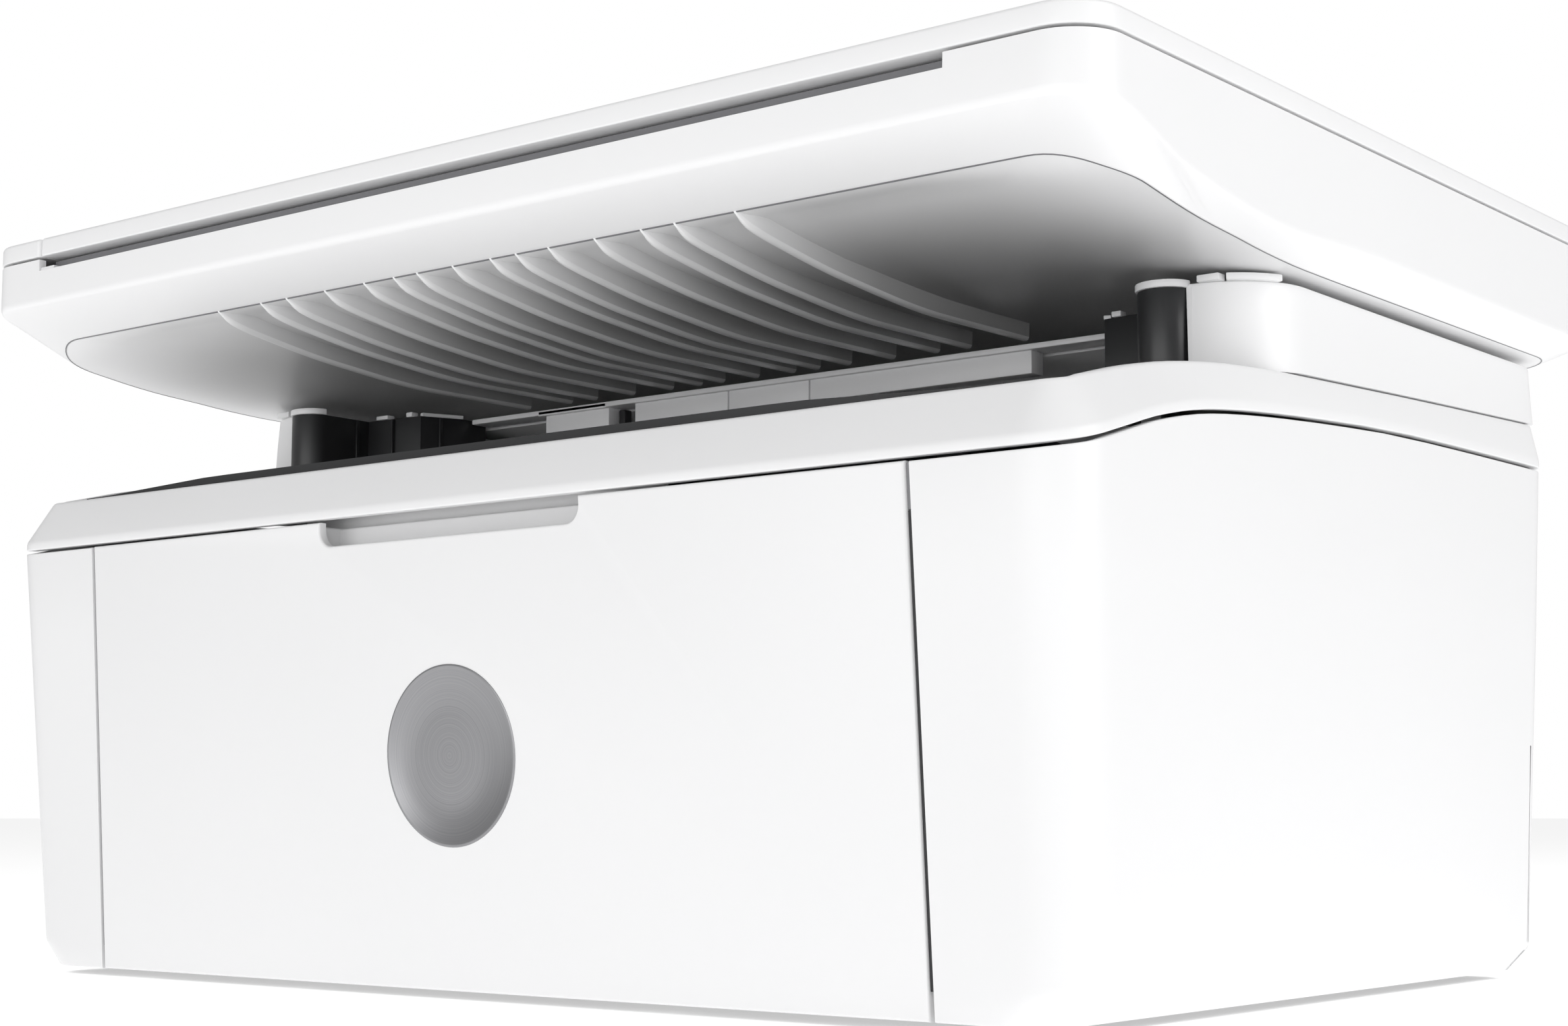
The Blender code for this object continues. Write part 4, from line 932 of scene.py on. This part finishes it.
def side_path_hi(z, inset, chamfer, seg=14):
    hx = body_hx(z) - chamfer - inset
    y0, y1 = front_y(z) + inset, rear_y(z) - inset
    r0, r1 = BODY_R - inset, 8.0 - inset
    pts = [(DOOR_HX + 0.7, y0), (DOOR_HX + 1.2, y0), (142.0, y0), (150.0 - chamfer, y0)]
    for k in range(seg + 1):
        a = math.radians(-90 + 90 * k / seg)
        pts.append((hx - r0 + r0 * math.cos(a), y0 + r0 + r0 * math.sin(a)))
    pts.extend((hx, y) for y in SIDE_D)
    for k in range(9):
        a = math.radians(90 * k / 8)
        pts.append((hx - r1 + r1 * math.cos(a), y1 - r1 + r1 * math.sin(a)))
    pts.append((141.2, y1))
    pts.append((140.6, y1))
    return pts


def side_rows_hi(inset):
    rows = []
    for z, ch in ((DOOR_Z0, 6.0), (8.5, 0.0), (30.0, 0.0), (60.0, 0.0), (90.0, 0.0)):
        rows.append([(x, y, z) for x, y in side_path_hi(z, inset, ch)])
    top = []
    for (x, y), (xo, yo) in zip(side_path_hi(FRONT_Z, inset, 0.0), side_path_hi(FRONT_Z, 0.0, 0.0)):
        z = rim_low(yo) - 0.4
        f = max(0.0, min(1.0, (xo - 150.0) / (body_hx(FRONT_Z) - 150.0)))
        top.append((x + f * (body_hx(z) - body_hx(FRONT_Z)), y, z))
    rows.append(top)
    return rows


def rounded_shell(o_rows, i_rows, radii, top=0.45, ends=True):
    """Outer rows with rounded top and bottom edges: the edge rows curl in towards the inner wall."""
    o_rows = fillet(o_rows, radii, 4)
    first, last = o_rows[0], o_rows[-1]

    def curl(row, inner, nxt, n=3):
        res = []
        for q in range(n + 1):
            t = q / n
            r = []
            for p, i_, m in zip(row, inner, nxt):
                P, I, N = Vector(p), Vector(i_), Vector(m)
                a = P + (N - P).normalized() * top
                d = I - P
                b = P + (d.normalized() * top if d.length > 1e-6 else Vector())
                v = b * (1 - t) ** 2 + P * 2 * t * (1 - t) + a * t * t
                r.append(tuple(v))
            res.append(r)
        return res
    c0 = curl(first, i_rows[0], o_rows[1])
    c1 = curl(last, i_rows[-1], o_rows[-2])[::-1]
    return c0 + o_rows[1:-1] + c1


o_, i_ = side_rows_hi(0.0), side_rows_hi(WALL)
o_ = rounded_shell(o_, i_, [0, 1.2, 0, 0, 0, 0])
for side, sx in (("right", 1), ("left", -1)):
    bm = bmesh.new()
    loft_bm(bm, [[(sx * x, y, z) for x, y, z in r] for r in o_], [[(sx * x, y, z) for x, y, z in r] for r in i_], False)
    finish_mesh(side + "_side_shell", bm, M["white"], "chassis", side + "_side_cover", 50)

# top rim
YR = [-104.0, -100.0, -95.0, -90.0, -85.0, -80.0, -74.0, -68.0, -60.0, -52.0, -44.0, -34.0, -20.0, 0.0, 25.0, 50.0, 75.0, 98.0]
XR = linspace(-158.0, 158.0, 11)


def rim_hi():
    def outline(inset):
        hx = body_hx(FRONT_Z)
        rr_ = (BODY_R - inset, 8.5 - inset, 8.5 - inset, BODY_R - inset) if inset < 8 else (5.0, 1.0, 1.0, 5.0)
        return rrect(-hx + inset, hx - inset, front_y(FRONT_Z) + inset, rear_y(FRONT_Z) + 0.8 - inset, rr_, 14, YR, XR)
    base_ = outline(0.0)
    rows = [[] for _ in range(6)]
    for k, (x, y) in enumerate(base_):
        zl, zt = rim_low(y) + 0.5, rim_top(y)
        b = curve_table(y, BEV_Y, BEV_B)
        spread = (body_hx(zl) - body_hx(FRONT_Z)) * (x / body_hx(FRONT_Z))
        for row, (ins, z) in zip(rows, ((0.0, zl), (0.0, zl + 2.0), (b, zt), (b + 2.5, zt), (b + 2.5, zt - 4.0), (2.4, zl))):
            px, py = outline(ins)[k]
            row.append((px + spread, py, z))
    return rows


bm = bmesh.new()
ring_bm(bm, fillet(rim_hi(), [0.4, 0.7, 1.1, 0.5, 0, 0], 4, True))
finish_mesh("top_rim_shell", bm, M["white"], "chassis", "top_cover_rim", 50)


# charcoal lip that stands a little above the rim, along the front and beside the bin
bm = bmesh.new()
sec = []
for x in linspace(-150.0, 150.0, 31):
    y = front_y(FRONT_Z) + 9.7
    zt = rim_top(y)
    up = 1.75 * max(0.0, min(1.0, (143.0 - abs(x)) / 45.0)) - 0.2
    sec.append([(x, y, zt - 4.5), (x, y, zt + up), (x, y + 1.3, zt + up), (x, y + 1.3, zt - 4.5)])
V = [[bm.verts.new(p) for p in q] for q in sec]
for a, b in zip(V, V[1:]):
    for k in range(4):
        bm.faces.new((a[k], a[(k + 1) % 4], b[(k + 1) % 4], b[k]))
bm.faces.new(V[0])
bm.faces.new(V[-1][::-1])
finish_mesh("bin_lip", bm, M["charcoal"], "chassis")


# pillars
def pillar_path_hi(z, inset, seg=14):
    hx = 170.5 - 0.045 * (z - 143.0) - inset
    y0, y1 = -45.0 + 0.06 * (z - 140) + inset, 112.0 - inset
    r0, r1 = 19.0 - inset, 7.0 - inset
    pts = [(152.3 + inset, y0)]
    for k in range(seg + 1):
        a = math.radians(-90 + 90 * k / seg)
        pts.append((hx - r0 + r0 * math.cos(a), y0 + r0 + r0 * math.sin(a)))
    pts.extend((hx, y) for y in (-20.0, -10.0, 0.0, 20.0, 40.0, 60.0, 80.0, 98.0))
    for k in range(9):
        a = math.radians(90 * k / 8)
        pts.append((hx - r1 + r1 * math.cos(a), y1 - r1 + r1 * math.sin(a)))
    pts.append((143.5 + inset, y1))
    return pts


def pillar_rows_hi(inset):
    lo = [(x, y, rim_top(yo) + GAP) for (x, y), (xo, yo) in zip(pillar_path_hi(143.0, inset), pillar_path_hi(143.0, 0.0))]
    top = PILLAR_TOP - inset
    return [lo, [(x, y, 152.0) for x, y in pillar_path_hi(152.0, inset)], [(x, y, top) for x, y in pillar_path_hi(top, inset)],
            [(x * 0.94 + 158.0 * 0.06, y * 0.94 + 33.0 * 0.06, top) for x, y in pillar_path_hi(top, inset)]]


po, pi = pillar_rows_hi(0.0), pillar_rows_hi(WALL)
po = fillet(po, [0, 0, 0.9, 0], 4)
for side, sx in (("right", 1), ("left", -1)):
    bm = bmesh.new()
    loft_bm(bm, [[(sx * x, y, z) for x, y, z in r] for r in po], [[(sx * x, y, z) for x, y, z in r] for r in pi], True,
            cap=((sx * 158.0, 33.0, PILLAR_TOP), (sx * 158.0, 33.0, PILLAR_TOP - WALL)))
    finish_mesh(side + "_pillar_shell", bm, M["white"], "chassis", side + "_pillar_cover", 50)


# liners: smooth columns with drawn seams, and the deck
def liner_path():
    pts = [(150.8, -33.0), (150.8, -42.5)]
    for k in range(1, 15):
        a = math.radians(0 - 180 * k / 15)
        pts.append((144.5 + 6.3 * math.cos(a), -42.5 + 5.7 * math.sin(a)))
    pts += [(138.2, -42.5), (138.2, -34.0), (138.2, -26.0), (130.0, -25.2), (117.6, -24.0), (112.6, -12.0), (112.6, -2.0)]
    return pts


lp = liner_path()
li = offset_path(lp, -1.8)
for side, sx in (("right", 1), ("left", -1)):
    bm = bmesh.new()
    prism_bm(bm, [(sx * x, y) for x, y in lp + li[::-1]], 136.0, 159.6, "Z", 0.25)
    ys = linspace(-111.0, 106.0, 32)
    T = [[bm.verts.new((sx * x, y, rim_top(y) - 1.6)) for x in (131.0, body_hx(130) - curve_table(y, BEV_Y, BEV_B) - 4.2)] for y in ys]
    B = [[bm.verts.new((v.co.x, v.co.y, v.co.z - 2.0)) for v in row] for row in T]
    for i in range(len(ys) - 1):
        bm.faces.new((T[i][0], T[i][1], T[i + 1][1], T[i + 1][0]))
        bm.faces.new((B[i][0], B[i + 1][0], B[i + 1][1], B[i][1]))
        for k in (0, 1):
            bm.faces.new((T[i][k], T[i + 1][k], B[i + 1][k], B[i][k]))
    for i in (0, -1):
        bm.faces.new((T[i][0], T[i][1], B[i][1], B[i][0]))
    # ribs that mark the seams of the moulding
    for x, y in ((137.9, -30.5), (128.0, -25.35), (114.9, -18.2)):
        box_bm(bm, sx * x - 0.35, sx * x + 0.35, y - 0.7, y + 0.5, 141.0, 159.4, 0.12, 1)
    finish_mesh(side + "_liner_shell", bm, M["charcoal"], "chassis", side + "_pillar_liner", 40)


# ---------------------------------------------------------------- front door
def door_outline_hi(i):
    z1 = FRONT_Z - 0.2 - i
    x1 = DOOR_HX - i
    r = 4.0 + i
    pts = [(-x1, DOOR_Z0 + i), (x1, DOOR_Z0 + i), (x1, z1)]
    n = 10
    pts.append((43.0 + i, z1))
    zb = 107.0 - i
    for k in range(n + 1):
        a = math.radians(-90.0 * k / n)
        pts.append((43.0 + i - r + r * math.cos(a), zb + r + r * math.sin(a)))
    for k in range(n + 1):
        a = math.radians(-90 - 90.0 * k / n)
        pts.append((-43.0 - i + r + r * math.cos(a), zb + r + r * math.sin(a)))
    pts.append((-43.0 - i, z1))
    pts.append((-x1, z1))
    return pts


def seam_x(x):
    """The right-hand seam is the wider one."""
    return x - 0.6 if x > 120.0 else x


def build_door():
    bm = bmesh.new()
    rows = []
    r = 0.7
    for k in range(5):
        a = math.pi / 2 * k / 4
        rows.append([(seam_x(x), front_y(z) + r * (1 - math.sin(a)), z) for x, z in door_outline_hi(r * (1 - math.cos(a)))])
    rows = [rows[-1 - k] for k in range(5)][::-1]
    rows.sort(key=lambda q: q[0][1])
    rows.append([(seam_x(x), front_y(z) + 2.4, z) for x, z in door_outline_hi(0.0)])
    V = [[bm.verts.new(p) for p in row] for row in rows]
    m = len(V[0])
    for a, b in zip(V, V[1:]):
        for k in range(m):
            j = (k + 1) % m
            bm.faces.new((a[k], a[j], b[j], b[k]))
    bm.faces.new(V[0])
    bm.faces.new(V[-1][::-1])
    # stiffening ribs and hinge lugs on the inside
    for x in (-120.0, -60.0, 60.0, 120.0):
        prism_bm(bm, [(front_y(12) + 1.6, 6.0), (front_y(100) + 1.6, 100.0), (front_y(100) + 4.6, 100.0), (TRAY_AXIS[0] + 2.5, 12.0),
                      (TRAY_AXIS[0] + 2.5, 6.0)], x - 1.2, x + 1.2, "X", 0.2)
    return finish_mesh("front_door_panel", bm, M["white"], "front_door", "front_door", 38)


build_door()

# badge: a plain turned disc let into the door
bm = bmesh.new()
n = 96
prof = [(21.2, 0.25), (21.1, -0.12), (20.9, -0.2), (20.4, -0.2), (20.25, -0.1), (10.0, -0.14), (0.6, -0.16)]
rings = []
for q, d in prof:
    ring = []
    for k in range(n):
        a = 2 * math.pi * k / n
        x, z = q * math.cos(a), 56.0 + q * math.sin(a)
        ring.append(bm.verts.new((x, front_y(z) + d, z)))
    rings.append(ring)
for a, b in zip(rings, rings[1:]):
    for k in range(n):
        bm.faces.new((a[k], a[(k + 1) % n], b[(k + 1) % n], b[k]))
bm.faces.new(rings[0][::-1])
bm.faces.new(rings[-1])
badge = finish_mesh("door_badge", bm, M["badge"], "front_door", None, 40)
polish("door_handle_pocket", M["grey_pocket"], 0.5, 3)

bm = bmesh.new()
box_bm(bm, -60.0, 60.0, -116.1, -115.2, 109.0, 118.0, 0.2, 1)
finish_mesh("door_stop_strip", bm, M["grey_pocket"], "chassis")

# dark strips set in the gaps beside the door as painted shadow of the seams: black low on the right, dark grey at the
# top right and on the left
for name, sx, mat, z0, z1, xi in (("painted_seam_shadow_right", 1, "black", 8.0, 103.0, 132.38), ("painted_seam_shadow_upper_right", 1, "grey_dark", 103.2, 112.5, 132.38),
                                 ("painted_seam_shadow_left", -1, "grey_dark", 8.0, 112.5, 132.98)):
    bm = bmesh.new()
    zs = linspace(z0, z1, 12)
    V = [[bm.verts.new((sx * x, front_y(z) + d, z)) for x, d in ((xi, 0.75), (133.52, 0.75), (133.52, 2.3), (xi, 2.3))] for z in zs]
    for a, b in zip(V, V[1:]):
        for k in range(4):
            bm.faces.new((a[k], a[(k + 1) % 4], b[(k + 1) % 4], b[k]))
    bm.faces.new(V[0])
    bm.faces.new(V[-1][::-1])
    finish_mesh(name, bm, M[mat], "chassis")

# ---------------------------------------------------------------- exit guide, bin floor
bm = bmesh.new()
for x0, x1 in ((-82.0, -57.0), (-47.0, -12.7), (-12.3, 15.6), (16.0, 86.5)):
    box_bm(bm, x0, x1, -7.6, -2.0, 152.2, 158.4, 0.35, 2)
box_bm(bm, -84.0, -57.0, -8.9, -2.2, 157.9, 159.4, 0.3, 2)
box_bm(bm, -111.5, 111.5, -8.9, -1.1, 158.1, 159.6, 0.3, 2)
finish_mesh("exit_guide_bar", bm, M["grey_light"], "chassis", "exit_guide", 40)


def bin_profile(n=40):
    ys = [p[0] for p in BIN]
    zs = [p[1] for p in BIN]
    return [(y, curve_table(y, ys, zs)) for y in linspace(ys[0], ys[-1], n)]


BIN = ((-115.6, 126.2), (-109.0, 128.9), (-99.0, 131.2), (-88.0, 132.6), (-75.0, 133.2), (-60.0, 132.8), (-42.0, 130.8), (-26.0, 128.4), (-13.0, 126.8))
bm = bmesh.new()
pr = bin_profile()
pts = pr + [(y, z - 2.2) for y, z in reversed(pr)]
prism_bm(bm, pts, -130.0, 130.0, "X", 0.4)
td = finish_mesh("toner_door_panel", bm, M["charcoal"], "toner_door", "toner_access_door", 30)
bool_obj(td, [cutbox(110.0, 140, -49.0, 0, 110, 150), cutbox(-140, -110.0, -49.0, 0, 110, 150)])

# ---------------------------------------------------------------- the rest: the frame's own shapes with rounded edges
for node, mat, w in (
    ("base_pan", "black", 0.4), ("center_top_cover", "white_matte", 0.4),
    ("left_frame_plate", "steel", 0.2), ("right_frame_plate", "steel", 0.2), ("scanner_top_frame", "grey_dark", 0.3),
    ("lid_hinges", "grey_light", 0.3), ("scanner_hinges", "steel", 0.3), ("lid_pad", "foam", 0.6), ("scan_carriage", "black", 0.5),
    ("exit_sensor_flag", "black", 0.3), ("toner_cartridge", "black", 1.0), ("laser_unit", "black", 0.6), ("fuser_frame", "grey_dark", 0.3),
    ("main_motor", "steel", 0.6), ("separation_pad", "cork", 0.4), ("lift_plate", "steel", 0.2), ("paper_guide_left", "charcoal", 0.4),
    ("paper_guide_right", "charcoal", 0.4), ("main_board", "pcb", 0.2), ("power_board", "pcb_tan", 0.3), ("power_inlet", "black", 0.4),
    ("usb_port", "steel", 0.2), ("polygon_mirror", "mirror", 0.3), ("foot_front_left", "rubber", 0.6), ("foot_front_right", "rubber", 0.6),
    ("foot_rear_left", "rubber", 0.6), ("foot_rear_right", "rubber", 0.6), ("drive_gear", "gear", 0.12), ("exit_idler_gear", "gear", 0.12),
    ("motor_pinion", "brass", 0.1), ("scan_glass", "glass", 0.25),
):
    polish(node, M[mat], w)


def roller(node, mat, gear_mat=None):
    """Rollers keep the frame's shape; the gear at the end and the journals take their own material."""
    o = polish(node, M[mat], 0.15)
    o.data.materials.append(M["gear"])
    o.data.materials.append(M["rod"])
    for f in o.data.polygons:
        x = f.center.x * 1000
        if x > 122.5:
            f.material_index = 1
        elif abs(x) > 112.05:
            f.material_index = 2
    return o


for node, mat in (("photo_drum", "drum"), ("transfer_roller", "rubber"), ("feed_roller", "rubber_grey"), ("heat_roller", "heat"), ("pressure_roller", "silicone"),
                  ("exit_roller", "rubber_grey"), ("pickup_roller", "rubber_grey")):
    roller(node, mat)
polish("guide_rod", M["rod"], 0.3)
keep("rear_cover", M["white"])

# rear details: screws
bm = bmesh.new()
yr = 112.9
for k in range(11):
    x = -70.0 + 16.0 * k
for sx, z in ((-128.0, 20.0), (128.0, 66.0), (-128.0, 100.0), (128.0, 104.0), (0.0, 20.0)):
    n = 28
    y = rear_y(z) + 0.05
    prof = [(3.3, 0.0), (3.3, 0.5), (3.0, 0.85), (1.6, 1.05), (1.45, 0.5), (0.1, 0.5)]
    rings = [[bm.verts.new((sx + q * math.cos(2 * math.pi * k / n), y + h, z + q * math.sin(2 * math.pi * k / n))) for k in range(n)] for q, h in prof]
    for a, b in zip(rings, rings[1:]):
        for k in range(n):
            bm.faces.new((a[k], a[(k + 1) % n], b[(k + 1) % n], b[k]))
    bm.faces.new(rings[0][::-1])
    bm.faces.new(rings[-1])
finish_mesh("rear_screws", bm, M["steel"], "chassis")

# ---------------------------------------------------------------- floor
bm = bmesh.new()
bmesh.ops.create_circle(bm, cap_ends=True, radius=9.0, segments=64)
me = bpy.data.meshes.new("floor")
bm.to_mesh(me)
bm.free()
floor = bpy.data.objects.new("floor", me)
scene.collection.objects.link(floor)
fm, nt, p = new_mat("floor_white")
fn = noise(nt, 3.0, 3.0, 0.5, coords(nt))
nt.links.new(ramp(nt, fn.outputs["Fac"], [(0.0, (0.93, 0.93, 0.93)), (1.0, (0.95, 0.95, 0.95))]), p.inputs["Base Color"])
p.inputs["Roughness"].default_value = 0.9
p.inputs["Specular IOR Level"].default_value = 0.0
p.inputs["Emission Color"].default_value = (1, 1, 1, 1)
p.inputs["Emission Strength"].default_value = 0.5
me.materials.append(fm)
